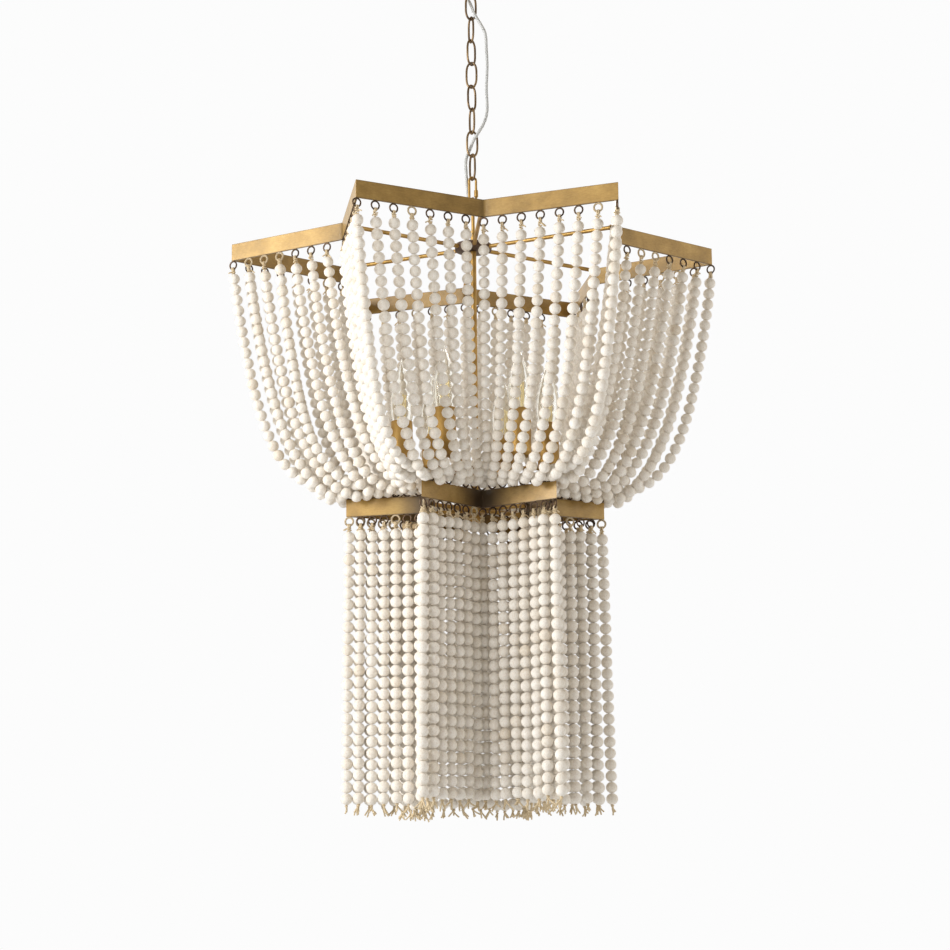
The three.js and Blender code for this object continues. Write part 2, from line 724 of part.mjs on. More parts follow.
// Supply cord: its route beside and through the chain, as [x, y, height above the upper band's foot]
function supplyCord() {
  const route = [
    [-9, 0, 434],
    [-9, 0, 425],
    [-8.6, 1.6, 419],
    [-6.6, 4.2, 412.5],
    [-2.4, 3.4, 407],
    [1, 0.2, 398],
    [3.8, -3, 388],
    [8.5, -5, 378],
    [14, -6, 368],
    [21, -7, 352],
    [22.4, -6, 328],
    [23.3, -5, 303],
    [21.8, -4, 266],
    [22.4, -5, 232],
    [18, -7.5, 213],
    [9.1, -8, 197],
    [1.9, -3.6, 186.7],
    [-3.6, 2.6, 174.2],
    [-8.6, 2.6, 162.7],
    [-9.8, 1.8, 150],
    [-9.2, 2.4, 138],
    [-8.6, 4.4, 124],
    [-7.6, 6.2, 110],
    [-6.2, 9, 98],
    [-4.8, 11.4, 88],
    [-1.7, 12.6, 74],
    [0.7, 13.8, 60],
    [1.5, 14.7, 46],
    [1.6, 15, 36],
    [1.6, 15, 28.3],
  ];
  const points = route.map(([x, y, z]) => new THREE.Vector3(x, y, upperBandBottom + z));
  const path = new THREE.CatmullRomCurve3(points, false, 'centripetal');
  const outline = numbers(cordSides).map((i) => polar(cordRadius, (i * 2 * Math.PI) / cordSides));
  add('supply_cord', new THREE.ExtrudeGeometry(new THREE.Shape(outline), {
    extrudePath: path,
    steps: cordSteps,
    bevelEnabled: false,
  }), silverCord);
}

ceilingFitting();
chain();
quickLink();
eyeBolt();
frame();
lamps();
curtains();
supplyCord();

export default chandelier;
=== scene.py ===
# %% [markdown]
# # A beaded chandelier, piece by piece
# The object is a ceiling light made of two bent metal stars. Strands of whitewashed wooden beads
# hang from the upper star to the lower one, and a straight bead fringe hangs under the lower star.
# A chain, a supply cord and a canopy carry it. The plain solids of every piece are loaded first, as
# a frame that gives each place and each moving part. This lesson then dresses them one by one.

# %% Load the frame
import math
import bpy
import numpy as np
from mathutils import Matrix, Vector


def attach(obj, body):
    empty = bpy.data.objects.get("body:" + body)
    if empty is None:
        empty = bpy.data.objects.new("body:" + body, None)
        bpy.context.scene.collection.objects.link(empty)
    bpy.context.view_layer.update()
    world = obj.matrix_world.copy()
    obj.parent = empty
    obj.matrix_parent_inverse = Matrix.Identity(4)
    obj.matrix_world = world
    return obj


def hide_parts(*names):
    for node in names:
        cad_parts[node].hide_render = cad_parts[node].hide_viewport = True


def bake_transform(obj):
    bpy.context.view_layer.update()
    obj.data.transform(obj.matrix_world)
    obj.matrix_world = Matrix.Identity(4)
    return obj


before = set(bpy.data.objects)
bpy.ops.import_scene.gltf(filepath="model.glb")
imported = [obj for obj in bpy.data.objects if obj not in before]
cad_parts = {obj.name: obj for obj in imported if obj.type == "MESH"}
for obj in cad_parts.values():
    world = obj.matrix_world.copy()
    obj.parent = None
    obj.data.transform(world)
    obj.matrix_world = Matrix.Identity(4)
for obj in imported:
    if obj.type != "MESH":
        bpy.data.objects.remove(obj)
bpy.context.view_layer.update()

# %% [markdown]
# ## The camera
# A product photograph like this is taken from some metres away with a long lens. The lens and the
# place were found by matching the corners of both stars and the rings between them to the picture.
# The camera stands below the stars and looks up a little, and it is tipped by half a degree. Its
# matrix is written out from its three directions, which is safer than chaining three rotations.

# %% Camera
MM = 0.001
FOCAL_PIXELS, IMAGE_PIXELS, SENSOR_WIDTH = 2383.8, 950, 36
PITCH, ROLL = math.radians(11.322), math.radians(0.586)
UPPER_BOTTOM = -461.175  # lower edge of the upper star


def add_to_scene(name, data):
    thing = bpy.data.objects.new(name, data)
    bpy.context.scene.collection.objects.link(thing)
    return thing


camera_data = bpy.data.cameras.new("camera")
camera_data.sensor_width = SENSOR_WIDTH
camera_data.lens = SENSOR_WIDTH * FOCAL_PIXELS / IMAGE_PIXELS
camera_data.clip_end = 60
camera = add_to_scene("camera", camera_data)
ahead = Vector((0, math.cos(PITCH), math.sin(PITCH)))
level_up = Vector((0, -math.sin(PITCH), math.cos(PITCH)))
right = Vector((1, 0, 0)) * math.cos(ROLL) - level_up * math.sin(ROLL)
up = Vector((1, 0, 0)) * math.sin(ROLL) + level_up * math.cos(ROLL)
place = Vector((-0.89, -3354.9, UPPER_BOTTOM - 987.57)) * MM
camera.matrix_world = Matrix.Translation(place) @ Matrix((right, up, -ahead)).transposed().to_4x4()
bpy.context.scene.camera = camera
bpy.context.scene.view_settings.view_transform = "Standard"
print("lens", round(camera_data.lens, 2), "mm, camera at", [round(v, 3) for v in place])

# %% [markdown]
# ## Two ways to make a mesh
# Almost every metal piece here is either turned, like a canopy, or a bar of constant section that
# follows a path, like the wire of a link. So two helpers do most of the work: `turned` spins a
# profile round a vertical axis and `swept` carries a circle along a path. Lengths are written in
# millimetres, as a maker would, and become metres only when the mesh is made. A finished object
# stays at the origin with its place in its mesh, so patterns in object space never slide.

# %% Mesh helpers
def make_piece(name, shape, material, sharp=35):
    points, faces = shape
    mesh = bpy.data.meshes.new(name)
    corners = [tuple(p) for p in np.asarray(points, float) * MM]
    mesh.from_pydata(corners, [], [tuple(map(int, f)) for f in faces])
    mesh.shade_smooth()
    mesh.set_sharp_from_angle(angle=math.radians(sharp))
    mesh.materials.append(material)
    return add_to_scene(name, mesh)


def turned(profile, steps=48, centre=(0, 0)):
    closed = profile[0] == profile[-1] and profile[0][0] > 0
    points, faces, rings = [], [], []
    for radius, height in profile[:-1] if closed else profile:
        if radius == 0:
            rings.append([len(points)] * steps)
            points.append((*centre, height))
            continue
        rings.append(list(range(len(points), len(points) + steps)))
        points += [(centre[0] + radius * math.cos(a), centre[1] + radius * math.sin(a), height)
                   for a in np.arange(steps) * 2 * math.pi / steps]
    for low, high in zip(rings, rings[1:] + rings[:closed]):
        for k in range(steps):
            corners = [low[k], low[(k + 1) % steps], high[(k + 1) % steps], high[k]]
            corners = [c for i, c in enumerate(corners) if c != corners[i - 1]]
            if len(corners) > 2:
                faces.append(corners)
    return points, faces


def raised(profile, by):
    return [(radius, height + by) for radius, height in profile]


def tube_faces(count, around, closed=False):
    faces = [(i * around + k, i * around + (k + 1) % around,
              (i + 1) % count * around + (k + 1) % around, (i + 1) % count * around + k)
             for i in range(count if closed else count - 1) for k in range(around)]
    if not closed:
        faces += [tuple(range(around))[::-1], tuple((count - 1) * around + k for k in range(around))]
    return faces


def frames_along(path, closed=False):
    path = np.asarray(path, float)
    ahead_of = np.roll(path, -1, 0) - np.roll(path, 1, 0) if closed else np.gradient(path, axis=0)
    tangents = ahead_of / np.linalg.norm(ahead_of, axis=1)[:, None]
    side = np.cross(tangents[0], np.eye(3)[np.argmin(np.abs(tangents[0]))])
    sides = []
    for tangent in tangents:
        side = side - tangent * side.dot(tangent)
        side = side / np.linalg.norm(side)
        sides.append(side)
    return path, np.array(sides), np.cross(tangents, sides)


def swept(path, radius, around=12, closed=False):
    path, sides, ups = frames_along(path, closed)
    radii = np.broadcast_to(np.asarray(radius, float), len(path))
    angles = (np.arange(around) * 2 * math.pi / around)[:, None]
    spokes = np.cos(angles) * sides[:, None] + np.sin(angles) * ups[:, None]
    rings = path[:, None] + radii[:, None, None] * spokes
    return rings.reshape(-1, 3), tube_faces(len(path), around, closed)


def combined(*parts):
    points, faces = [], []
    for part_points, part_faces in parts:
        shift = len(points)
        points += [tuple(p) for p in part_points]
        faces += [tuple(i + shift for i in f) for f in part_faces]
    return points, faces


# %% Smooth paths
def step_lengths(path):
    return np.linalg.norm(np.diff(path, axis=0), axis=1)


def blended(u, start, end, first, last):
    return (end - u) / (end - start) * first + (u - start) / (end - start) * last


def smooth_path(points, count):
    points = np.asarray(points, float)
    steps = np.sqrt(step_lengths(points))
    knots = np.concatenate([[0], np.cumsum(steps)])
    ends = np.vstack([2 * points[0] - points[1], points, 2 * points[-1] - points[-2]])
    knots = np.concatenate([[-steps[0]], knots, [knots[-1] + steps[-1]]])
    fine = []
    for u in np.linspace(0, knots[-2], count * 8):
        i = min(max(int(np.searchsorted(knots, u, "right")) - 1, 1), len(points) - 1)
        t, p = knots[i - 1:i + 3], ends[i - 1:i + 3]
        a = [blended(u, t[k], t[k + 1], p[k], p[k + 1]) for k in range(3)]
        b = [blended(u, t[k], t[k + 2], a[k], a[k + 1]) for k in range(2)]
        fine.append(blended(u, t[1], t[2], *b))
    fine = np.array(fine)
    lengths = np.concatenate([[0], np.cumsum(step_lengths(fine))])
    evenly = np.linspace(0, lengths[-1], count)
    return np.stack([np.interp(evenly, lengths, fine[:, k]) for k in range(3)], axis=1)


print("mesh helpers ready")

# %% [markdown]
# ## Finishes
# Each finish is a small node tree on one Principled shader. The real bands are brass-plated strip
# that was rubbed with a dark wax, so their colour runs from pale gold to brown in soft patches and
# fine lines along the strip. The chain and the rings are darker. The beads are turned wood under
# thin white paint, so no two are the same white. Patterns read object coordinates, in metres.

# %% Node helpers
def fill_sockets(tree, node, **inputs):
    for key, value in inputs.items():
        numbered = key[0] == "i" and key[1:].isdigit()
        socket = node.inputs[int(key[1:]) if numbered else key.replace("_", " ")]
        if isinstance(value, bpy.types.NodeSocket):
            tree.links.new(value, socket)
        else:
            socket.default_value = value
    return node


def add_node(tree, kind, settings=(), **inputs):
    node = tree.nodes.new(kind)
    for key, value in dict(settings).items():
        setattr(node, key, value)
    return fill_sockets(tree, node, **inputs)


def out_of(tree, kind, settings=(), **inputs):
    return add_node(tree, kind, settings, **inputs).outputs[0]


def new_finish(name, metallic, roughness):
    material = bpy.data.materials.new(name)
    material.use_nodes = True
    tree = material.node_tree
    shader = fill_sockets(tree, tree.nodes["Principled BSDF"], Metallic=metallic, Roughness=roughness)
    return material, tree, shader, add_node(tree, "ShaderNodeTexCoord").outputs["Object"]


def ramp(tree, factor, *stops):
    node = add_node(tree, "ShaderNodeValToRGB", Fac=factor)
    elements = node.color_ramp.elements
    while len(elements) < len(stops):
        elements.new(0.5)
    for element, (position, *colour) in zip(elements, stops):
        element.position = position
        element.color = (*colour, 1)
    return node.outputs["Color"]


def noise(tree, vector, scale, detail=3.0, roughness=0.55):
    return out_of(tree, "ShaderNodeTexNoise", Vector=vector, Scale=scale, Detail=detail, Roughness=roughness)


def stretched(tree, vector, scale):
    return out_of(tree, "ShaderNodeMapping", Vector=vector, Scale=scale)


def stored(tree, name):
    return add_node(tree, "ShaderNodeAttribute", {"attribute_name": name}).outputs["Fac"]


def mixed(tree, factor, first, second, blend="MIX"):
    return add_node(tree, "ShaderNodeMix", {"data_type": "RGBA", "blend_type": blend},
                    Factor=factor, i6=first, i7=second).outputs[2]


def bump(tree, shader, height, strength, distance):
    normal = out_of(tree, "ShaderNodeBump", Height=height, Strength=strength, Distance=distance)
    fill_sockets(tree, shader, Normal=normal)


def between(tree, value, low, high):
    return out_of(tree, "ShaderNodeMapRange", i0=value, i3=low, i4=high)


print("node helpers ready")


# %% Metal finishes
def rubbed_metal(name, dark, middle, light, metallic, roughness):
    material, tree, shader, place_on = new_finish(name, metallic, roughness[0])
    patches = noise(tree, place_on, 30.0, 2.0)
    fill_sockets(tree, shader, Base_Color=ramp(tree, patches, (0.3, *dark), (0.52, *middle), (0.72, *light)),
                 Roughness=between(tree, patches, *roughness))
    bump(tree, shader, noise(tree, place_on, 120.0, 2.0), 0.05, 0.0002)
    return material


fitting_gold = rubbed_metal("rubbed gold fittings", (0.30, 0.18, 0.055), (0.50, 0.31, 0.095),
                            (0.62, 0.41, 0.145), 0.8, (0.38, 0.5))
chain_bronze = rubbed_metal("dark bronze wire", (0.11, 0.075, 0.045), (0.23, 0.155, 0.085),
                            (0.40, 0.28, 0.155), 0.85, (0.32, 0.45))
hub_bronze = rubbed_metal("dark hub disc", (0.07, 0.045, 0.035), (0.13, 0.085, 0.065),
                          (0.20, 0.14, 0.10), 0.7, (0.45, 0.6))
ring_bronze = rubbed_metal("dark bronze rings", (0.05, 0.032, 0.022), (0.10, 0.065, 0.04),
                           (0.17, 0.11, 0.07), 0.85, (0.34, 0.5))

# %% Brushed strip, with wax and painted shade
band_gold, tree, shader, place_on = new_finish("rubbed gold strip", 0.65, 0.55)
patches = noise(tree, place_on, 22.0, 5.0, 0.6)
colour = ramp(tree, patches, (0.3, 0.255, 0.156, 0.038), (0.5, 0.385, 0.238, 0.064),
              (0.7, 0.50, 0.328, 0.098))
along_strip = add_node(tree, "ShaderNodeTexCoord").outputs["UV"]
brushed = noise(tree, stretched(tree, along_strip, (170, 520, 1)), 1.0, 5.0, 0.7)
lines = ramp(tree, brushed, (0.3, 0.36, 0.36, 0.36), (0.7, 0.64, 0.64, 0.64))
lined = mixed(tree, 0.9, colour, lines, "SOFT_LIGHT")
# The stored attribute mixes in a near-black brown: partly dark wax, partly painted shade in the inner
# corners, along the edges and on the underside.
waxed_and_shaded = mixed(tree, stored(tree, "wax_and_shade"), lined, (0.05, 0.032, 0.02, 1))
fill_sockets(tree, shader, Base_Color=waxed_and_shaded, Roughness=between(tree, brushed, 0.5, 0.68),
             Coat_Weight=0.8, Coat_Roughness=0.25)
bump(tree, shader, brushed, 0.2, 0.0002)
print("metals:", [m.name for m in (band_gold, fitting_gold, chain_bronze, hub_bronze, ring_bronze)])

# %% Whitewashed beads
bead_white, tree, shader, place_on = new_finish("whitewashed wood", 0.0, 0.62)
grain = noise(tree, stretched(tree, place_on, (420, 420, 90)), 1.0, 4.0)
wash = ramp(tree, grain, (0.26, 0.66, 0.54, 0.40), (0.42, 0.83, 0.77, 0.68), (0.6, 0.89, 0.86, 0.80))
tone = stored(tree, "tone")
shade = ramp(tree, tone, (0.0, 0.77, 0.68, 0.55), (0.25, 0.87, 0.82, 0.74), (1.0, 0.95, 0.93, 0.89))
pits = noise(tree, place_on, 620.0, 3.0, 0.65)
specks = ramp(tree, pits, (0.34, 0.66, 0.56, 0.44), (0.5, 0.97, 0.96, 0.95), (0.7, 1.0, 1.0, 1.0))
pitted = mixed(tree, 0.42, mixed(tree, 0.6, wash, shade), specks, "MULTIPLY")
fill_sockets(tree, shader, Base_Color=pitted, Roughness=between(tree, grain, 0.72, 0.55),
             Specular_IOR_Level=0.35, Sheen_Weight=0.22, Sheen_Roughness=0.35)
bump(tree, shader, pits, 0.5, 0.0004)

# %% Jute, glass, filament and cord finishes
def speckled(name, roughness, scale, detail, *stops, **more):
    material, tree, shader, place_on = new_finish(name, 0.0, roughness)
    speckle = ramp(tree, noise(tree, place_on, scale, detail), *stops)
    fill_sockets(tree, shader, Base_Color=speckle, **more)
    return material


glass = speckled("clear bulb glass", 0.03, 60.0, 2.0, (0.3, 0.97, 0.96, 0.92), (0.7, 1.0, 0.99, 0.96),
                 Transmission_Weight=1.0, IOR=1.18)
filament_yellow = speckled("yellow filament sticks", 0.5, 700.0, 1.0,
                           (0.35, 0.94, 0.76, 0.36), (0.65, 1.0, 0.90, 0.58))

jute, tree, shader, place_on = new_finish("jute twine", 0.0, 0.95)
fibres = noise(tree, stretched(tree, place_on, (1500, 1500, 500)), 1.0, 3.0)
fill_sockets(tree, shader, Base_Color=ramp(
    tree, fibres, (0.3, 0.50, 0.38, 0.22), (0.55, 0.74, 0.61, 0.41), (0.75, 0.92, 0.83, 0.64)))
bump(tree, shader, fibres, 0.6, 0.0004)

cord_silver, tree, shader, place_on = new_finish("silver cord sleeve", 0.0, 0.42)
twist = add_node(tree, "ShaderNodeTexWave", {"wave_type": "BANDS", "bands_direction": "DIAGONAL"},
                 Vector=place_on, Scale=260.0, Distortion=2.0, Detail=2.0).outputs["Fac"]
sleeving = ramp(tree, twist, (0.2, 0.47, 0.485, 0.49), (0.6, 0.53, 0.545, 0.55), (0.95, 0.59, 0.605, 0.61))
fill_sockets(tree, shader, Base_Color=sleeving, Subsurface_Weight=0.9, Subsurface_Radius=(1.0, 1.0, 1.0),
             Subsurface_Scale=0.004)
bump(tree, shader, twist, 0.05, 0.0002)
print("other finishes:", [m.name for m in (bead_white, jute, glass, filament_yellow, cord_silver)])


# %% Hand a piece to the frame
def hand_over(piece, body, slot_name, *nodes):
    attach(piece, body)
    if nodes:
        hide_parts(*nodes)
    return piece


def gold_fitting(name, shape, body, node, slot_name="antique_brass"):
    return hand_over(make_piece(name, shape, fitting_gold), body, slot_name, node)


# %% [markdown]
# ## The supply cord
# The lamp is fed by a thin silver cord that wanders down beside the chain and slips through two of
# its links. It is a fixed length of flexible tube, so its route is written as points and smoothed.
# The chain swings link by link, and a piece can bend between two bodies only. So the cord is made
# as ten lengths, one round each pivot, and they meet face to face in the middle of a link.

# %% Cord
CORD_DIAMETER, CORD_SIDES = 4.5, 12
LINK_LENGTH, LINK_WIDTH, LINK_WIRE, LINK_PITCH = 42.4, 19, 3.2, 35.7
LINK_BAR = 39.2  # from the middle of a link's top wire to the middle of its foot
COLLAR_PIVOT, CHAIN_TOP, QUICK_TOP, QUICK_FOOT = -48.625, -44.975, -330.425, -366.925
cord_points = [
    (-9, 0, 434), (-9, 0, 425), (-8.6, 1.6, 419), (-6.6, 4.2, 412.5), (-2.4, 3.4, 407), (1, 0.2, 398),
    (3.8, -3, 388), (8.5, -5, 378), (14, -6, 368), (21, -7, 352), (22.4, -6, 328), (23.3, -5, 303),
    (21.8, -4, 266), (22.4, -5, 232), (18, -7.5, 213), (9.1, -8, 197), (1.9, -3.6, 186.7), (-3.6, 2.6, 174.2),
    (-8.6, 2.6, 162.7), (-9.8, 1.8, 150), (-9.2, 2.4, 138), (-8.6, 4.4, 124), (-7.6, 6.2, 110), (-6.2, 9, 98),
    (-4.8, 11.4, 88), (-1.7, 12.6, 74), (0.7, 13.8, 60), (1.5, 14.7, 46), (1.6, 15, 36), (1.6, 15, 28.3),
]
cord_route = smooth_path([(x, y, z + UPPER_BOTTOM) for x, y, z in cord_points], 260)
pivots = [COLLAR_PIVOT, *(CHAIN_TOP - LINK_BAR - LINK_PITCH * i for i in range(8)), QUICK_FOOT]
cuts = [(a + b) / 2 for a, b in zip(pivots, pivots[1:])]
marks = [0, *(int(np.argmax(cord_route[:, 2] < cut)) for cut in cuts), len(cord_route) - 1]
cord_rings = swept(cord_route, CORD_DIAMETER / 2, CORD_SIDES)[0].reshape(len(cord_route), CORD_SIDES, 3)
print("cord length", round(float(step_lengths(cord_route).sum()), 1), "mm")

# %% Cord lengths between the links
for i, (first, last) in enumerate(zip(marks, marks[1:])):
    middle_line = cord_route[first:last + 1] * MM
    count = len(middle_line)
    tube = cord_rings[first:last + 1].reshape(-1, 3), tube_faces(count, CORD_SIDES)
    length_of_cord = make_piece(f"cord_{i + 1}", tube, cord_silver, 60)
    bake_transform(length_of_cord)
    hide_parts("supply_cord")
print("cord pieces:", i + 1)

# %% [markdown]
# ## Chain links with Geometry Nodes
# A link is round wire bent to an oval and welded shut. Its rule is a circle whose halves move apart,
# with a smaller circle carried round it. `Bow` says how fast they part: at 0 the sides are straight,
# and at 1 the link is an ellipse. It is a few curve nodes and Curve to Mesh, so one changed number
# changes a link without touching its neighbours.

# %% Tree helpers
SOCKET_KINDS = {float: "NodeSocketFloat", int: "NodeSocketInt", type(None): "NodeSocketMaterial"}


def new_tree(name, inputs):
    tree = bpy.data.node_groups.new(name, "GeometryNodeTree")
    tree.interface.new_socket("Geometry", in_out="INPUT", socket_type="NodeSocketGeometry")
    for label, value in inputs.items():
        socket = tree.interface.new_socket(label, in_out="INPUT", socket_type=SOCKET_KINDS[type(value)])
        if value is not None:
            socket.default_value = value
    tree.interface.new_socket("Geometry", in_out="OUTPUT", socket_type="NodeSocketGeometry")
    return tree, tree.nodes.new("NodeGroupInput").outputs


def math_node(tree, operation, a, b=0.0):
    return out_of(tree, "ShaderNodeMath", {"operation": operation}, i0=a, i1=b)


def vector_of(tree, **numbers):
    return out_of(tree, "ShaderNodeCombineXYZ", **numbers)


def circle_across(tree, width, steps):
    return out_of(tree, "GeometryNodeCurvePrimitiveCircle", Resolution=steps,
                  Radius=math_node(tree, "MULTIPLY", width, 0.5))


def round_wire(tree, curve, thickness, around, **more):
    return out_of(tree, "GeometryNodeCurveToMesh", Curve=curve, **more,
                  Profile_Curve=circle_across(tree, thickness, around))


def end_tree(tree, geometry, material):
    real = out_of(tree, "GeometryNodeRealizeInstances", Geometry=geometry)
    smooth = out_of(tree, "GeometryNodeSetShadeSmooth", Geometry=real)
    painted = out_of(tree, "GeometryNodeSetMaterial", Geometry=smooth, Material=material)
    add_node(tree, "NodeGroupOutput", Geometry=painted)
    print("tree:", tree.name, "with", len(tree.nodes), "nodes")
    return tree


def grow(name, seed, tree, settings):
    carrier = add_to_scene(name + "_seed", seed)
    modifier = carrier.modifiers.new(tree.name, "NODES")
    modifier.node_group = tree
    for item in tree.interface.items_tree:
        if item.in_out == "INPUT" and item.name in settings:
            modifier[item.identifier] = settings[item.name]
    depsgraph = bpy.context.evaluated_depsgraph_get()
    mesh = bpy.data.meshes.new_from_object(carrier.evaluated_get(depsgraph), preserve_all_data_layers=True,
                                           depsgraph=depsgraph)
    bpy.data.objects.remove(carrier)
    mesh.name = name
    return add_to_scene(name, mesh)


# %% Tree: a link of round wire
tree, given = new_tree("link of round wire", {
    "Length": LINK_LENGTH * MM, "Width": LINK_WIDTH * MM, "Wire": LINK_WIRE * MM, "Turn": 0.0,
    "Height": 0.0, "Bow": 0.45, "Steps": 44, "Finish": None})
bar_width = math_node(tree, "SUBTRACT", given["Width"], given["Wire"])
half_apart = math_node(tree, "MULTIPLY", math_node(tree, "SUBTRACT", given["Length"], given["Width"]), 0.5)
here = add_node(tree, "ShaderNodeSeparateXYZ", Vector=out_of(tree, "GeometryNodeInputPosition"))
share = math_node(tree, "DIVIDE", here.outputs["Y"], math_node(tree, "MULTIPLY", bar_width, 0.5))
bowed = math_node(tree, "POWER", math_node(tree, "ABSOLUTE", share), given["Bow"])
shift = math_node(tree, "MULTIPLY", math_node(tree, "SIGN", share), bowed)
oval = out_of(tree, "GeometryNodeSetPosition", Geometry=circle_across(tree, bar_width, given["Steps"]),
              Offset=vector_of(tree, Y=math_node(tree, "MULTIPLY", shift, half_apart)))
standing = out_of(tree, "GeometryNodeTransform", Geometry=round_wire(tree, oval, given["Wire"], 14),
                  Rotation=vector_of(tree, X=math.pi / 2, Z=given["Turn"]),
                  Translation=vector_of(tree, Z=given["Height"]))
link_tree = end_tree(tree, standing, given["Finish"])

# %% The chain
LINK_TURNS = [20, 115, 45, 160, 46, 115, 17, 118]  # degrees, read from how wide each link looks
for i, turn in enumerate(LINK_TURNS):
    name, middle = f"oval_link_{i + 1}", CHAIN_TOP - LINK_BAR / 2 - LINK_PITCH * i
    link = grow(name, bpy.data.meshes.new(name), link_tree,
                {"Turn": math.radians(turn), "Height": middle * MM, "Finish": chain_bronze})
    hand_over(link, f"body_chain_link_{i + 1}", "dark_bronze", f"chain_link_{i + 1}")
print("link faces:", len(link.data.polygons))

# %% [markdown]
# ## The long link with its sleeve
# Between the chain and the eye bolt is a link that can be opened: a sleeve with a thread inside
# covers a gap in one side. The wire is swept along an open path that starts and ends at the gap,
# because a closed link would show no gap when the sleeve is run up. The sleeve is a turned nut with
# rounded ends.

# %% Quick link
QUICK_TURN = math.radians(10)
QUICK_WIDTH, QUICK_WIRE = 13.6, 3.5
QUICK_BAR = (QUICK_WIDTH - QUICK_WIRE) / 2
SLEEVE_HALF = 5.25
SLEEVE_MIDDLE = (QUICK_TOP + QUICK_FOOT) / 2 - 11.8 + SLEEVE_HALF


def in_upright_plane(turn, u, z):
    return (u * math.cos(turn), u * math.sin(turn), z)


quick_path = [(QUICK_BAR, SLEEVE_MIDDLE + 2)]
for bow_middle, start in ((QUICK_TOP - QUICK_BAR, 0), (QUICK_FOOT + QUICK_BAR, math.pi)):
    quick_path += [(QUICK_BAR * math.cos(a), bow_middle + QUICK_BAR * math.sin(a))
                   for a in np.linspace(start, start + math.pi, 17)]
quick_path += [(QUICK_BAR, SLEEVE_MIDDLE - 2)]
quick_wire = swept([in_upright_plane(QUICK_TURN, *p) for p in quick_path], QUICK_WIRE / 2, 16)
gold_fitting("long_link", quick_wire, "body_quick_link", "quick_link", "dark_bronze")

# %% Its sleeve
sleeve_profile = [(2.05, -SLEEVE_HALF), (2.6, -SLEEVE_HALF), (3.0, -4.8), (3.0, 4.8), (2.6, SLEEVE_HALF),
                  (2.05, SLEEVE_HALF), (2.05, -SLEEVE_HALF)]
sleeve = turned(raised(sleeve_profile, SLEEVE_MIDDLE), 36, in_upright_plane(QUICK_TURN, QUICK_BAR, 0)[:2])
gold_fitting("link_sleeve", sleeve, "body_lock_sleeve", "lock_sleeve")
print("sleeve from", round(SLEEVE_MIDDLE - SLEEVE_HALF, 2), "to", round(SLEEVE_MIDDLE + SLEEVE_HALF, 2))

# %% [markdown]
# ## Eye bolt, nut and centre rod
# The eye is bent from the bolt's own wire, so ring and shank are one piece. Its foot flares a little
# into the shank. The tall nut has a waist and rounded ends. The rod under the hub is plain tube.

# %% Eye bolt
EYE_CENTRE, HUB_NUT_TOP, HUB_BOTTOM, LOWER_HUB_BOTTOM = -370.875, -412.875, -443.175, -833.875


def wire_eye(turn, radius, height, wire, steps):
    return swept([in_upright_plane(turn, radius * math.cos(a), height + radius * math.sin(a))
                  for a in np.arange(steps) * 2 * math.pi / steps], wire, 16, True)


shank = [(0, -457), (2.5, -457), (2.5, -387), (2.7, -383), (3.4, -380.3), (2.2, -378.6), (0, -378.2)]
eye_bolt = combined(wire_eye(math.pi / 2, 8, EYE_CENTRE, 2, 40), turned(shank, 24))
gold_fitting("bolt_with_eye", eye_bolt, "fixture", "eye_bolt")

# %% Nut over the hub and rod under it
nut_profile = [(2.75, -20), (4.0, -20), (4.6, -19.2), (4.6, -15.5), (3.9, -14.6), (3.9, -5.4), (4.6, -4.5),
               (4.6, -0.8), (4.0, 0), (2.75, 0), (2.75, -20)]
gold_fitting("tall_nut", turned(raised(nut_profile, HUB_NUT_TOP), 32), "fixture", "hub_nut")
rod_profile = [(0, -842.8), (3.9, -842.8), (4.25, -842.4), (4.25, -443.9), (3.9, -443.5), (2.8, -443.5),
               (2.8, -457.4), (0, -457.4)]
gold_fitting("middle_rod", turned(rod_profile, 24), "fixture", "centre_rod")
print("hub parts done")

# %% [markdown]
# ## The star bands
# Each star is one strip of flat bar, bent at twelve corners and eased along its edges. Every line of
# the section is mitred on its own, so the corners stay crisp. The band gets a UV map that runs along
# the strip, because the brushing follows the strip round its corners, which object coordinates can't
# do. A point attribute darkens the strip: partly dark wax and partly painted shade, most in the inner
# corners, along the edges and on the underside.

# %% Star outlines
TIPS = 6
INTERVALS = 7  # ring spaces on one side of a star point
UPPER = {"tip": 352.0, "valley": 222.5, "turn": 3.72, "bottom": UPPER_BOTTOM}
LOWER = {"tip": 186.0, "valley": 81.3, "turn": 6.57, "bottom": -840.375}
BAND_HEIGHT, BAND_THICKNESS = 25.0, 3.0


def unit(vectors):
    return vectors / np.linalg.norm(vectors, axis=1)[:, None]


def moved_in(corners, inset):
    before, after = unit(corners - np.roll(corners, 1, 0)), unit(np.roll(corners, -1, 0) - corners)
    left_before = np.stack([-before[:, 1], before[:, 0]], 1)
    left_after = np.stack([-after[:, 1], after[:, 0]], 1)
    middle = unit(left_before + left_after)
    return corners + middle * (inset / (middle * left_after).sum(1))[:, None]


def star_line(star, inset):
    angles = math.radians(star["turn"]) + np.arange(2 * TIPS) * math.pi / TIPS
    radii = np.where(np.arange(2 * TIPS) % 2, star["valley"], star["tip"])
    return moved_in(np.stack([radii * np.cos(angles), radii * np.sin(angles)], 1), inset)


def ring_places(star):
    line = star_line(star, BAND_THICKNESS / 2)
    ahead_of = np.roll(line, -1, 0) - line
    steps = np.arange(INTERVALS)[:, None]
    points = np.concatenate([line[i] + ahead_of[i] * steps / INTERVALS for i in range(2 * TIPS)])
    return points, np.repeat(unit(ahead_of), INTERVALS, 0)


upper_places, upper_along = ring_places(UPPER)
lower_places, lower_along = ring_places(LOWER)
print("rings on each star:", len(upper_places), len(lower_places))

# %% Bent strip
STATION_SHARES = np.array([0.002, 0.3, 0.6, 0.78, 0.89, 0.95, 0.98, 0.998])  # from a tip to a valley
EASE = 0.35
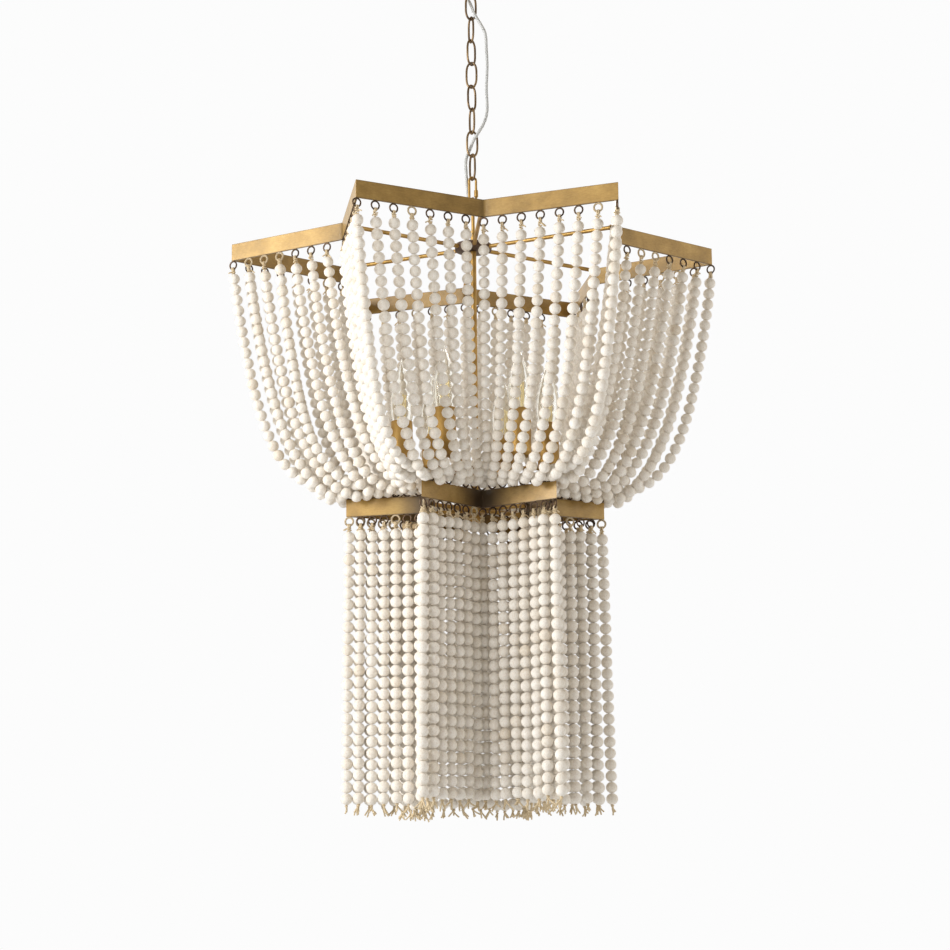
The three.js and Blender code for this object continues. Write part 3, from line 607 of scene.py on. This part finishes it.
# Darkening along the eased edges and more on the underside: partly wax, partly painted shade.
EDGE_WAX_AND_SHADE = np.array([0.45, 0, 0, 0.35, 0.2, 0.2, 0.35, 0, 0, 0.45, 0.5, 0.5])


def stations_along(line):
    path, to_valley = [], []
    for i, corner in enumerate(line):
        after = line[(i + 1) % len(line)]
        shares = STATION_SHARES if i % 2 == 0 else 1 - STATION_SHARES[::-1]
        path += [corner + (after - corner) * share for share in shares]
        to_valley += list(shares if i % 2 == 0 else 1 - shares)
    return np.array(path), np.array(to_valley)


def bent_strip(name, star, valley_wax_and_shade, reach, node):
    low, high = star["bottom"], star["bottom"] + BAND_HEIGHT
    levels = [low + EASE, low + 1.6, high - 1.6, high - EASE]
    section = [(0, z) for z in levels] + [(EASE, high), (BAND_THICKNESS - EASE, high)]
    section += [(BAND_THICKNESS, z) for z in levels[::-1]] + [(BAND_THICKNESS - EASE, low), (EASE, low)]
    outlines = [stations_along(star_line(star, inset))[0] for inset, _ in section]
    to_valley = stations_along(star_line(star, 0))[1]
    count, sides = len(to_valley), len(section)
    points = [(*outline[i], z) for i in range(count) for outline, (_, z) in zip(outlines, section)]
    outwards = [(a, d, c, b) for a, b, c, d in tube_faces(count, sides, True)]
    piece = make_piece(name, (points, outwards), band_gold, 30)
    steps = np.linalg.norm(np.roll(outlines[0], -1, 0) - outlines[0], axis=1)
    widths = [math.dist(a, b) for a, b in zip(section, section[1:] + section[:1])]
    along, around = (np.concatenate([[0], np.cumsum(sizes)]) * MM for sizes in (steps, widths))
    corners = [(along[i + a], around[k + b]) for i in range(count) for k in range(sides)
               for a, b in ((0, 0), (1, 0), (1, 1), (0, 1))]
    piece.data.uv_layers.new(name="along_the_strip").data.foreach_set("uv", np.array(corners).ravel())
    # Painted shade, with some wax, darkens each band towards its inner corners and along its edges.
    wax_and_shade = np.clip(valley_wax_and_shade * np.exp(-((1 - to_valley[:, None]) / reach) ** 2) + EDGE_WAX_AND_SHADE, 0, 0.9)
    piece.data.attributes.new("wax_and_shade", "FLOAT", "POINT").data.foreach_set("value", wax_and_shade.ravel())
    print(name, "faces:", len(piece.data.polygons))
    return hand_over(piece, "fixture", "antique_brass", node)


# Painted shade in the inner corners: light and narrow on the upper star, deep and wide on the lower.
bent_strip("upper_star", UPPER, 0.35, 0.045, "upper_star_band")
bent_strip("lower_star", LOWER, 1.0, 0.34, "lower_star_band")

# %% [markdown]
# ## Spiders
# A spider is a hub with one rod to every inner corner of its star. The rods are welded, so a small
# collar of weld shows where each meets the band. The upper hub is a thick disc with a rounded rim in
# dark bronze, the lower one a smaller gold drum over a turned finial.

# %% Spiders
def spider(name, star, hub_profile, hub_bottom, rods_above, rod_start, hub_finish, hub_slot):
    hub = make_piece(f"{name}_hub", turned(raised(hub_profile, hub_bottom)), hub_finish)
    hand_over(hub, "fixture", hub_slot, name)
    rods, level = [], hub_bottom + rods_above
    for corner in star_line(star, BAND_THICKNESS)[1::2]:
        radius = np.linalg.norm(corner)
        reaches = [rod_start, rod_start + 6, radius - 4.5, radius - 2.0, radius - 0.4]
        rods.append(swept([(*(corner / radius * r), level) for r in reaches], [3.0, 3.0, 3.0, 3.6, 4.4], 14))
    gold_fitting(f"{name}_rods", combined(*rods), "fixture", name)


disc = [(2.8, 0), (25.5, 0), (26.6, 0.6), (27, 1.8), (27, 8.2), (26.6, 9.4), (25.5, 10), (2.8, 10), (2.8, 0)]
spider("upper_spider", UPPER, disc, HUB_BOTTOM, 4, 25, hub_bronze, "dark_bronze")
drum = [(4.55, 0), (13.8, 0), (15, 1.275), (15, 10.675), (13.8, 12), (4.55, 12), (4.55, 0)]
spider("lower_spider", LOWER, drum, LOWER_HUB_BOTTOM, 6, 13.5, fitting_gold, "antique_brass")

# %% Finial under the lower hub
finial_profile = [(0, -849.2), (3.2, -848.9), (5.2, -847.6), (8.2, -844.6), (9.0, -842.4), (8.5, -840.0),
                  (7.2, -837.6), (7.2, -834.4), (6.9, -834.2), (4.55, -834.2), (4.55, -842.9), (0, -842.9)]
gold_fitting("turned_finial", turned(finial_profile, 40), "fixture", "finial_nut")
print("spiders done")

# %% [markdown]
# ## How the beads hang
# A strand is a thread with fixed ends and beads that touch. Its shape could be drawn as a catenary,
# but near each star point the strands are closer than a bead is wide, so the beads push each other
# aside, and that is most of what makes the real curtain look real. So the strands are settled by a
# small simulation: every bead falls a little, the thread pulls neighbours back to one bead apart,
# and beads that overlap part. All strands are moved at once in arrays, which takes seconds. The
# fringe hangs plumb, so its strands only stand apart like discs seen from above, and sway a little.

# %% Beads push each other and the band
BEAD, BEAD_WIDENING = 16.0, 1.05
PART_SHARE = 0.7  # of an overlap is undone in one sweep
NEAR = 1.8 * BEAD  # beads further apart than this can't meet within a few steps
FULL_TURN = 6.28  # for headings drawn at random
rng = np.random.default_rng(84)


def wall_push(x, walls, low, high, clearance):
    for a, b in walls:
        along = b - a
        t = np.clip(((x[:, :2] - a) @ along) / along.dot(along), 0, 1)
        nearest = np.concatenate([a + t[:, None] * along, np.clip(x[:, 2], low, high)[:, None]], 1)
        away = x - nearest
        distance = np.linalg.norm(away, axis=1)
        touching = (distance < clearance) & (distance > 1e-6)
        x[touching] += away[touching] * ((clearance - distance[touching]) / distance[touching])[:, None]


def near_pairs(x, reach, count):
    squares = (x ** 2).sum(1)
    gaps = squares[:, None] + squares[None] - 2 * x @ x.T
    a, b = np.nonzero(np.triu(gaps < reach * reach, 1))
    same_strand = (a // count == b // count) & (b - a == 1)
    return a[~same_strand], b[~same_strand]


def part_beads(x, a, b, sizes):
    apart = x[b] - x[a]
    distance = np.linalg.norm(apart, axis=1)
    wanted = (sizes[a] + sizes[b]) / 2 * BEAD_WIDENING
    touching = distance < wanted
    a, b, apart = a[touching], b[touching], apart[touching]
    push = apart * (0.5 * (wanted[touching] / distance[touching] - 1))[:, None]
    for k in range(3):
        x[:, k] += PART_SHARE * (np.bincount(b, push[:, k], len(x)) - np.bincount(a, push[:, k], len(x)))


# %% Settle the strands
FIRST_SAG = 60
FALL, LAST_FALL, KEPT_SPEED = 0.3, 0.05, 0.95


def pull_thread(x, reach, backwards):
    last = x.shape[1] - 1
    for j in range(last)[::-1] if backwards else range(last):
        link = x[:, j + 1] - x[:, j]
        length = np.linalg.norm(link, axis=1)
        shift = link * ((length - reach[:, j]) / length)[:, None]
        free_a, free_b = j > 0, j + 1 < last
        share = 1 / (free_a + free_b)
        if free_a:
            x[:, j] += shift * share
        if free_b:
            x[:, j + 1] -= shift * share


def settle(tops, feet, sizes, first_gaps, last_gap, walls, low, high, steps):
    strands, count = sizes.shape
    reach = np.concatenate([first_gaps[:, None] + sizes[:, :1] / 2, (sizes[:, 1:] + sizes[:, :-1]) / 2,
                            last_gap + sizes[:, -1:] / 2], 1)
    t = (np.arange(count + 2) / (count + 1))[None, :, None]
    x = tops[:, None] * (1 - t) + feet[:, None] * t
    x[:, :, 2] -= FIRST_SAG * np.sin(math.pi * t[:, :, 0])
    x[:, 1:-1] += rng.normal(0, 0.3, x[:, 1:-1].shape)
    old = x.copy()
    for step in range(steps):
        lively = step < steps * 0.8
        speed = (x - old) * KEPT_SPEED
        old = x.copy()
        x[:, 1:-1] += speed[:, 1:-1] + [0, 0, -(FALL if lively else LAST_FALL)]
        if step % 8 == 0:
            a, b = near_pairs(x[:, 1:-1].reshape(-1, 3), NEAR, count)
        for sweep in range(8 if lively else 16):
            pull_thread(x, reach, sweep % 2 == 0)
            beads = x[:, 1:-1].reshape(-1, 3)
            part_beads(beads, a, b, sizes.reshape(-1))
            wall_push(beads, walls, low, high, BEAD / 2 + BAND_THICKNESS / 2)
            x[:, 1:-1] = beads.reshape(strands, count, 3)
    stretch = np.abs(np.linalg.norm(np.diff(x, axis=1), axis=2) - reach).max()
    print("strands", strands, "stretch", round(float(stretch), 2), "mm")
    return x


# %% Swags
RING, RING_WIRE = 14.2, 2.5
RING_BITE = 0.5  # a ring's wire reaches this far past the band's edge
SWAG_BEADS, FRINGE_BEADS = 25, 24
upper_foot = UPPER["bottom"] + RING_BITE - RING
lower_foot = LOWER["bottom"] + RING_BITE - RING
lower_top = LOWER["bottom"] + BAND_HEIGHT
strands = len(upper_places)
swag_sizes = BEAD * rng.uniform(0.98, 1.012, (strands, SWAG_BEADS))
from_valley = np.abs(np.arange(strands) % (2 * INTERVALS) - INTERVALS)
swag_sizes *= 1 - 0.055 * np.exp(-(from_valley / 3.5) ** 2)[:, None]
fringe_sizes = BEAD * rng.uniform(0.985, 1.025, (strands, FRINGE_BEADS))
lower_line = star_line(LOWER, BAND_THICKNESS / 2)
walls = list(zip(lower_line, np.roll(lower_line, -1, 0)))
swag_tops = np.column_stack([upper_places, np.full(strands, upper_foot)])
swag_feet = np.column_stack([lower_places, np.full(strands, lower_top + 11)])
swag_gaps = rng.uniform(4.5, 10.5, strands)
swags = settle(swag_tops, swag_feet, swag_sizes, swag_gaps, 4.8, walls, LOWER["bottom"], lower_top, 260)
print("lowest swag bead", round(float(swags[:, 1:-1, 2].min() - UPPER["bottom"]), 1))


# %% Fringe
FRINGE_COLUMN = 16.8  # the least distance between two strands
LEAN, SPLAY, SWAY = 0.0016, 0.013, 0.35  # off plumb at random and outwards, as slopes, and waving in mm
TIP_SPLAY = 1.9  # the right tip's strand hangs further out than the others
FAR = 1e6


def distances(apart):
    return np.linalg.norm(apart, axis=2) + np.eye(len(apart)) * FAR


def stand_apart(places, gap):
    moved = places.copy()
    for _ in range(400):
        apart = moved[:, None] - moved[None]
        distance = distances(apart)
        push = apart * (np.clip(gap - distance, 0, None) / distance)[:, :, None]
        moved += 0.45 * push.sum(1) + 0.02 * (places - moved)
    return moved


columns = stand_apart(lower_places, FRINGE_COLUMN)
first_gaps = rng.uniform(5.5, 8.0, strands)
lower_by = first_gaps[:, None] + np.cumsum(fringe_sizes, axis=1) - fringe_sizes / 2
settled = 1 - 0.3 * np.exp(-0.8 * np.arange(FRINGE_BEADS))[None, :, None]
lean = rng.normal(0, LEAN, (strands, 1, 2)) * lower_by[:, :, None]
splay = SPLAY * (np.linalg.norm(columns, axis=1) / LOWER["tip"]) ** 4
splay[0] *= TIP_SPLAY
lean += (unit(columns) * splay[:, None])[:, None] * lower_by[:, :, None]
start = rng.uniform(0, FULL_TURN, (strands, 1, 2))
sway = start + lower_by[:, :, None] / rng.uniform(45, 80, (strands, 1, 2))
plumb = lower_places[:, None] + (columns - lower_places)[:, None] * settled
fringe = np.zeros((strands, FRINGE_BEADS + 2, 3))
fringe[:, 0] = np.column_stack([lower_places, np.full(strands, lower_foot)])
fringe[:, 1:-1, :2] = plumb + lean + SWAY * np.sin(sway)
fringe[:, 1:-1, 2] = lower_foot - lower_by
fringe[:, -1] = fringe[:, -2] - [0, 0, BEAD]
print("nearest pair", round(float(distances(columns[:, None] - columns[None]).min()), 2),
      "lowest bead", round(float(fringe[:, -2, 2].min() - BEAD / 2), 1))

# %% [markdown]
# ## Beads, rings, knots and frayed ends with Geometry Nodes
# Now every bead has a place. A tree puts one small ball on each point, turns it so that its hole
# follows the thread, spins it at random and scales it. The points carry that as attributes: `aim`,
# `size` and `tone`. The ball has only seventy faces, because there are four thousand of it.

# %% Trees for beads, rings and twine
def on_points(tree, given, shape, spin_seed=0):
    aim = out_of(tree, "GeometryNodeInputNamedAttribute", {"data_type": "FLOAT_VECTOR"}, Name="aim")
    size = out_of(tree, "GeometryNodeInputNamedAttribute", {"data_type": "FLOAT"}, Name="size")
    rotation = out_of(tree, "FunctionNodeAlignRotationToVector", {"axis": "Z"}, Vector=aim)
    if spin_seed:
        turn_by = add_node(tree, "FunctionNodeRandomValue", {"data_type": "FLOAT"},
                           i2=0.0, i3=2 * math.pi, Seed=spin_seed).outputs[1]
        spin = out_of(tree, "FunctionNodeEulerToRotation", Euler=vector_of(tree, Z=turn_by))
        rotation = out_of(tree, "FunctionNodeRotateRotation", {"rotation_space": "LOCAL"},
                          i0=rotation, i1=spin)
    placed = out_of(tree, "GeometryNodeInstanceOnPoints", Points=given["Geometry"], Instance=shape,
                    Rotation=rotation, Scale=size)
    return end_tree(tree, placed, given["Finish"])


tree, given = new_tree("beads on a thread", {
    "Diameter": BEAD * MM, "Widening": BEAD_WIDENING, "Around": 10, "Rows": 7, "Finish": None})
ball = out_of(tree, "GeometryNodeMeshUVSphere", Segments=given["Around"], Rings=given["Rows"],
              Radius=math_node(tree, "MULTIPLY", given["Diameter"], 0.5))
widen = vector_of(tree, X=given["Widening"], Y=given["Widening"], Z=1.01)
bead_tree = on_points(tree, given, out_of(tree, "GeometryNodeTransform", Geometry=ball, Scale=widen), 7)

tree, given = new_tree("jump rings", {"Diameter": RING * MM, "Wire": RING_WIRE * MM, "Finish": None})
hoop = circle_across(tree, math_node(tree, "SUBTRACT", given["Diameter"], given["Wire"]), 14)
ring_tree = on_points(tree, given, round_wire(tree, hoop, given["Wire"], 6))

tree, given = new_tree("twine along lines", {"Thickness": 0.001, "Finish": None})
lines = out_of(tree, "GeometryNodeMeshToCurve", Mesh=given["Geometry"])
twine = round_wire(tree, lines, given["Thickness"], 5, Fill_Caps=True)
twine_tree = end_tree(tree, twine, given["Finish"])


# %% Points with attributes
def point_cloud(name, places, aims, sizes, tones):
    mesh = bpy.data.meshes.new(name)
    mesh.from_pydata([tuple(p) for p in np.asarray(places) * MM], [], [])
    for label, kind, field, values in (("aim", "FLOAT_VECTOR", "vector", aims),
                                       ("size", "FLOAT", "value", sizes), ("tone", "FLOAT", "value", tones)):
        layer = mesh.attributes.new(label, kind, "POINT")
        layer.data.foreach_set(field, np.asarray(values, float).ravel())
    return mesh


def beads_of(name, threads, sizes, body, node):
    aims = threads[:, 2:] - threads[:, :-2]
    places = threads[:, 1:-1].reshape(-1, 3)
    tones = rng.beta(2.2, 1.2, len(places))
    cloud = point_cloud(name, places, aims.reshape(-1, 3), sizes.reshape(-1) / BEAD, tones)
    return hand_over(grow(name, cloud, bead_tree, {"Finish": bead_white}), body, "whitewashed_beads", node)


def rings_of(name, places, along, heights, node):
    even = np.zeros(len(along))
    outward = np.column_stack([along[:, 1], -along[:, 0], even])
    cloud = point_cloud(name, np.column_stack([places, heights]), outward, even + 1, even)
    hand_over(grow(name, cloud, ring_tree, {"Finish": ring_bronze}), "fixture", "dark_bronze", node)


def tie_on(name, paths, thickness, body, node):
    points, edges = [], []
    for path in paths:
        edges += [(len(points) + i, len(points) + i + 1) for i in range(len(path) - 1)]
        points += [tuple(p) for p in np.asarray(path) * MM]
    if paths:
        mesh = bpy.data.meshes.new(name)
        mesh.from_pydata(points, edges, [])
        twine = grow(name, mesh, twine_tree, {"Thickness": thickness * MM, "Finish": jute})
        hand_over(twine, body, "whitewashed_beads", node)


print("bead helpers ready")

# %% [markdown]
# ## Knots
# Jute twine ties the strands to their rings. The twine goes over the ring's wire, is wound round
# itself about three times and closes above the first bead, and the cut ends stick out sideways.
# About one ring in five is wrapped all round in twine, as some in the picture are. At the foot of
# the fringe it ends in a knot with three to five thick frayed ends. Each knot is a short coil with
# a swelling, because twine that is wound tight shows only its outermost turns.

# %% Knot and tail paths
KNOT_TWINE, WRAP_TWINE, TAIL_TWINE = 2.0, 1.2, 2.3
WRAP_TURNS, WRAP_COIL = 28, 1.05
WIRE_LOOP = 2.2  # from the middle of a ring's wire to the middle of the twine over it


def knot_path(top, foot, radius, turns=3.4, steps=20):
    top, foot = np.asarray(top, float), np.asarray(foot, float)
    _, sides, ups = frames_along([top, (top + foot) / 2, foot])
    t = np.linspace(0, 1, steps)
    angle = t * turns * 2 * math.pi + twine_rng.uniform(0, FULL_TURN)
    swell = radius * np.sin(math.pi * np.clip(t, 0.12, 0.9)) ** 0.5
    loose = twine_rng.normal(0, 0.3, (steps, 3))
    spokes = np.cos(angle)[:, None] * sides[1] + np.sin(angle)[:, None] * ups[1]
    return top + (foot - top) * t[:, None] + loose + swell[:, None] * spokes


def over_the_wire(place, along, upwards):
    outward, lift = np.array([[along[1], -along[0], 0], [0, 0, upwards]])
    angles = np.radians(np.linspace(-75, 255, 9))[:, None]
    bow = WIRE_LOOP * (np.cos(angles) * outward + np.sin(angles) * lift)
    return [place + [along[0] * shift, along[1] * shift, upwards * RING_WIRE / 2] + bow
            for shift in (-1.1, 1.1)]


def wrapped_wire(place, along, height):
    angles = np.linspace(0, 2 * math.pi, 6 * WRAP_TURNS + 1)[:, None]
    outward, forward, upward = np.array([[along[1], -along[0], 0], [along[0], along[1], 0], [0, 0, 1]])
    spoke = np.cos(angles) * forward + np.sin(angles) * upward
    coil = np.cos(WRAP_TURNS * angles) * spoke + np.sin(WRAP_TURNS * angles) * outward
    return np.array([*place, height]) + (RING - RING_WIRE) / 2 * spoke + WRAP_COIL * coil


def cut_ends(place, count):
    paths = []
    for _ in range(count):
        heading, length = twine_rng.uniform(0, FULL_TURN), twine_rng.uniform(4.5, 9)
        drop, t = twine_rng.uniform(-0.1, 0.9), np.linspace(0, 1, 4)[:, None]
        away = np.array([math.cos(heading), math.sin(heading), -drop])
        paths.append(place + length * t * away - [0, 0, 2.2] * t ** 2)
    return paths


def tail_paths(top, count):
    paths = []
    for _ in range(count):
        length = twine_rng.uniform(6, 12.5)
        lean, curl = twine_rng.normal(0, 0.38, 2), twine_rng.normal(0, 2.4, 2)
        t = np.linspace(0, 1, 5)[:, None]
        paths.append(np.hstack([top[:2] + lean * length * t + curl * t ** 2, top[2] - length * t]))
    return paths


twine_rng = np.random.default_rng(12)
wrapped_above, wrapped_below = twine_rng.random((2, strands)) < 0.2
wrapped_above[42:46] = [False, True, True, True]  # three side by side on the left point, as in the picture
print("wrapped rings:", int(wrapped_above.sum()), "above,", int(wrapped_below.sum()), "below")


# %% Swags, one star point at a time
def members(point):
    first = point * 2 * INTERVALS
    return [(first + step) % strands for step in range(1 - INTERVALS, INTERVALS + 1)]


top_rings, foot_rings = UPPER["bottom"] + RING_BITE - RING / 2, lower_top - RING_BITE + RING / 2
for point in range(TIPS):
    mine = members(point)
    number, node = point + 1, f"swag_point_{point + 1}"
    beads = beads_of(f"swag_beads_{number}", swags[mine], swag_sizes[mine], "fixture", node)
    rings_of(f"swag_rings_{number}", np.concatenate([upper_places[mine], lower_places[mine]]),
             np.concatenate([upper_along[mine], lower_along[mine]]),
             np.repeat([top_rings, foot_rings], len(mine)), node)
    knots = []
    for i in mine:
        (top, top_bead), (foot_bead, foot) = swags[i, :2], swags[i, -2:]
        down = (top_bead - top) / np.linalg.norm(top_bead - top)
        back = (foot_bead - foot) / np.linalg.norm(foot_bead - foot)
        knots += over_the_wire(top, upper_along[i], 1) + over_the_wire(foot, lower_along[i], -1)
        knots.append(knot_path(top - down * 0.5, top_bead - down * 7.0, 2.7))
        knots.append(knot_path(foot - back * 0.5, foot_bead - back * 7.0, 2.8))
        knots += cut_ends(top + down * 3, twine_rng.integers(1, 3))
        knots += cut_ends(foot, twine_rng.integers(1, 3))
    tie_on(f"swag_knots_{number}", knots, KNOT_TWINE, "fixture", node)
    wraps = [wrapped_wire(upper_places[i], upper_along[i], top_rings) for i in mine if wrapped_above[i]]
    tie_on(f"swag_wraps_{number}", wraps, WRAP_TWINE, "fixture", node)
print("beads in one point's swags:", len(mine) * SWAG_BEADS, "faces", len(beads.data.polygons))

# %% Fringe, one star point at a time
fringe_rings = LOWER["bottom"] + RING_BITE - RING / 2
for point in range(TIPS):
    tip, number, whole = point * 2 * INTERVALS, point + 1, members(point)
    groups = [([i for i in whole if i != tip], "fixture", f"fringe_point_{number}", "fringe"),
              ([tip], f"body_tip_strand_{number}", f"fringe_tip_strand_{number}", "tip_strand")]
    for mine, body, node, label in groups:
        beads_of(f"{label}_beads_{number}", fringe[mine], fringe_sizes[mine], body, node)
        knots, tails = [], []
        for i in mine:
            (top, first_bead), last_bead = fringe[i, :2], fringe[i, -2]
            knots += over_the_wire(top, lower_along[i], 1)
            knots.append(knot_path(top + [0, 0, 0.5], first_bead + [0, 0, 7.0], 2.9))
            knots += cut_ends(top - [0, 0, 2.0], twine_rng.integers(2, 4))
            knots.append(knot_path(last_bead - [0, 0, 7.2], last_bead - [0, 0, 11.6], 1.9, 2.0, 12))
            tails += tail_paths(last_bead - [0, 0, 10.6], twine_rng.integers(3, 6))
        tie_on(f"{label}_knots_{number}", knots, KNOT_TWINE, body, node)
        tie_on(f"{label}_tails_{number}", tails, TAIL_TWINE, body, node)
    node = f"fringe_point_{number}"
    rings_of(f"fringe_rings_{number}", lower_places[whole], lower_along[whole],
             np.full(len(whole), fringe_rings), node)
    wraps = [wrapped_wire(lower_places[i], lower_along[i], fringe_rings) for i in whole if wrapped_below[i]]
    tie_on(f"fringe_wraps_{number}", wraps, WRAP_TWINE, "fixture", node)
print("fringe strands:", strands, "with", FRINGE_BEADS, "beads each")

# %% [markdown]
# ## Candle lights
# Inside the swags stand six candles: a straight arm, a cup, a plated sleeve over the socket and a
# clear bulb with straight filament sticks. The bulb is a thin shell, with an outer and an inner
# wall, because a solid ball of glass would turn the picture behind it upside down.

# %% Arms and cups
LAMP_RING, ARM_LEVEL = 106.0, -766.175
CUP_TOP = ARM_LEVEL + 3.5
MOUTH = CUP_TOP + 50  # the socket's upper end
lamp_places = [(LAMP_RING * math.cos(a), LAMP_RING * math.sin(a))
               for a in math.radians(LOWER["turn"]) + np.arange(TIPS) * math.pi / 3]

cup = raised([(0, -7), (9, -7), (14, -5.4), (16.6, -1.6), (17, -0.4), (16.4, 0), (12, 0)], CUP_TOP)
cup += raised([(12, -0.6), (11.4, 0), (7.4, 0), (7.4, -27.3), (0, -27.3)], MOUTH)
arm_hub = [(4.55, -8), (12, -8), (15.5, -6), (17, -3), (17, 3), (15.5, 6), (12, 8), (4.55, 8), (4.55, -8)]
parts = [turned(raised(arm_hub, ARM_LEVEL), 40)]
for x, y in lamp_places:
    parts.append(turned(cup, 32, (x, y)))
    parts.append(swept([(x * s, y * s, ARM_LEVEL) for s in (0.14, 0.4, 0.7, 0.93)], 3, 12))
gold_fitting("lamp_arms_and_cups", combined(*parts), "fixture", "lamp_arms")

# %% Sleeves, bulbs and filaments
candle_tube = [(14.5, 0.3), (15.5, 0.3), (15.5, 61.8), (15.2, 62.3), (14.5, 62.3), (14.5, 0.3)]
glass_outer = [(4.8, 0.5), (7.6, 3.2), (11.6, 7.5), (14.9, 15), (16.6, 23.5), (17.35, 34), (17.1, 45),
               (15.3, 57), (11.6, 71.5), (7.6, 83), (3.9, 94), (1.6, 102), (0, 106.5)]
GLASS_WALL = 0.8
glass_inner = [(r - GLASS_WALL, h - (1.2 if r < 2 else 0)) for r, h in glass_outer[:-1]]
shell = raised([(0, 0.4), *glass_outer], MOUTH)
hollow = raised([(0, 105), *glass_inner[::-1], (0, 1.4)], MOUTH)
thread = [(7.0 if k % 2 else 6.4, -23 + k * 1.4) for k in range(14)]
screw = raised([(0, -27), (3, -26.6), (5.5, -24), *thread, (6.4, -0.4), (0, 0.2)], MOUTH)
for number, (x, y) in enumerate(lamp_places, 1):
    body, node = f"body_bulb_{number}", f"bulb_{number}"
    tube = turned(raised(candle_tube, CUP_TOP), 40, (x, y))
    gold_fitting(f"candle_tube_{number}", tube, "fixture", f"candle_sleeve_{number}")
    walls_of_glass = combined(turned(shell, 32, (x, y)), turned(hollow, 32, (x, y)))
    hand_over(make_piece(f"bulb_glass_{number}", walls_of_glass, glass, 60), body, "clear_glass", node)
    gold_fitting(f"bulb_base_{number}", turned(screw, 24, (x, y)), body, node)
    sticks = [swept([(x + r * math.cos(a), y + r * math.sin(a), MOUTH + h)
                     for r, h in ((5.4, 11), (5.8, 52))], 1.3, 8) for a in np.arange(4) * math.pi / 2 + 0.4]
    stem = swept([(x, y, MOUTH + h) for h in (1, 9, 13)], [3.2, 1.6, 1.0], 10)
    filament = make_piece(f"filament_{number}", combined(stem, *sticks), filament_yellow)
    hand_over(filament, body, "clear_glass", node)
print("lamps:", len(lamp_places))

# %% [markdown]
# ## Ceiling fitting
# The canopy hides the ceiling box. It is a spun sheet-metal dish with a rolled shoulder, held up by
# a ring that screws onto the collar. Above it, a strap, a threaded nipple and a nut carry the load.

# %% Canopy, ring and collar
canopy_outline = [(13.8, -24), (50, -24), (55, -23.4), (59.2, -21.4), (62, -18.4), (63.6, -14.6), (64, -11),
                  (64, -0.3), (62.8, -0.3), (62.8, -11), (62.4, -14), (60.9, -17.6), (58.4, -20.3),
                  (54.6, -22.2), (50, -22.8), (13.8, -22.8), (13.8, -24)]
gold_fitting("canopy_dish", turned(canopy_outline, 96), "canopy_shell", "canopy")
ring_outline = [(13.8, -31.3), (15.6, -31.3), (16.6, -30.6), (17, -29.4), (17, -26.2), (16.4, -24.9),
                (15.4, -24.3), (13.8, -24.3), (13.8, -31.3)]
gold_fitting("screw_ring", turned(ring_outline, 64), "canopy_shell", "collar_ring")
barrel = [(0, -32.5), (11.8, -32.5), (13.1, -31.9), (13.5, -30.8), (13.5, -20.5), (5.1, -20.5), (5.1, -28.8),
          (0, -28.8)]
collar = combined(turned(barrel), wire_eye(math.radians(110), 8.5, -40.125, 1.75, 48))
gold_fitting("collar_with_eye", collar, "ceiling_fitting", "collar_loop")

# %% Strap, nipple and nut keep their solids
for name in ("mounting_strap", "threaded_nipple", "lock_nut"):
    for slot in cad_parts[name].material_slots:
        slot.material = chain_bronze
print("ceiling fitting done")

# %% [markdown]
# ## Light, floor and background
# The picture has a plain white background and soft light, most of it from the left. The world is
# white where the camera or the glass sees it. Metal mirrors it brighter behind than in front, and
# it is gentler where it only lights, so that the pale beads keep their shading. The floor is far
# below, out of the frame.

# %% World
world = bpy.data.worlds.new("studio")
bpy.context.scene.world = world
world.use_nodes = True
tree = world.node_tree
tree.nodes.clear()
seen = add_node(tree, "ShaderNodeLightPath").outputs
white = out_of(tree, "ShaderNodeBackground", Color=(1, 1, 1, 1), Strength=0.974)
heading = add_node(tree, "ShaderNodeTexCoord").outputs["Generated"]
backwards = add_node(tree, "ShaderNodeSeparateXYZ", Vector=heading).outputs["Y"]
lit = out_of(tree, "ShaderNodeMapRange", i0=backwards, i1=-0.7, i2=0.8, i3=0.32, i4=0.65)
mirrored = out_of(tree, "ShaderNodeMapRange", i0=backwards, i1=0.0, i2=0.6, i3=0.34, i4=1.05)
strength = out_of(tree, "ShaderNodeMix", i0=seen["Is Glossy Ray"], i2=lit, i3=mirrored)
soft = out_of(tree, "ShaderNodeBackground", Color=(1.0, 0.895, 0.745, 1), Strength=strength)
direct = math_node(tree, "MAXIMUM", seen["Is Camera Ray"], seen["Is Transmission Ray"])
both = out_of(tree, "ShaderNodeMixShader", i0=direct, i1=soft, i2=white)
add_node(tree, "ShaderNodeOutputWorld", Surface=both)


# %% Lamps of the studio
def soft_box(name, position, target, size, power):
    light = bpy.data.lights.new(name, "AREA")
    light.shape = "RECTANGLE"
    light.size, light.size_y = size
    light.energy = power
    lamp = add_to_scene(name, light)
    lamp.location = position
    lamp.rotation_euler = (Vector(target) - Vector(position)).to_track_quat("-Z", "Y").to_euler()


soft_box("key_light", (-2.63, -1.64, -0.35), (0, 0, -0.75), (2.4, 1.3), 102)
soft_box("fill_light", (2.9, -0.8, -0.6), (0, 0, -0.85), (1.6, 1.6), 25)
soft_box("back_light", (0.4, 2.8, 0.9), (0, 0, -0.7), (2.0, 1.4), 26)

# %% Floor
FLOOR_REACH, FLOOR_LEVEL = 6000, -2600
floor_corners = [(x * FLOOR_REACH, y * FLOOR_REACH, FLOOR_LEVEL)
                 for x, y in ((-1, -1), (1, -1), (1, 1), (-1, 1))]
floor_paint = speckled("pale floor", 0.8, 3.0, 3.0, (0.3, 0.84, 0.88, 0.94), (0.7, 0.87, 0.91, 0.97))
floor = make_piece("floor", (floor_corners, [(0, 1, 2, 3)]), floor_paint)
print("studio done")
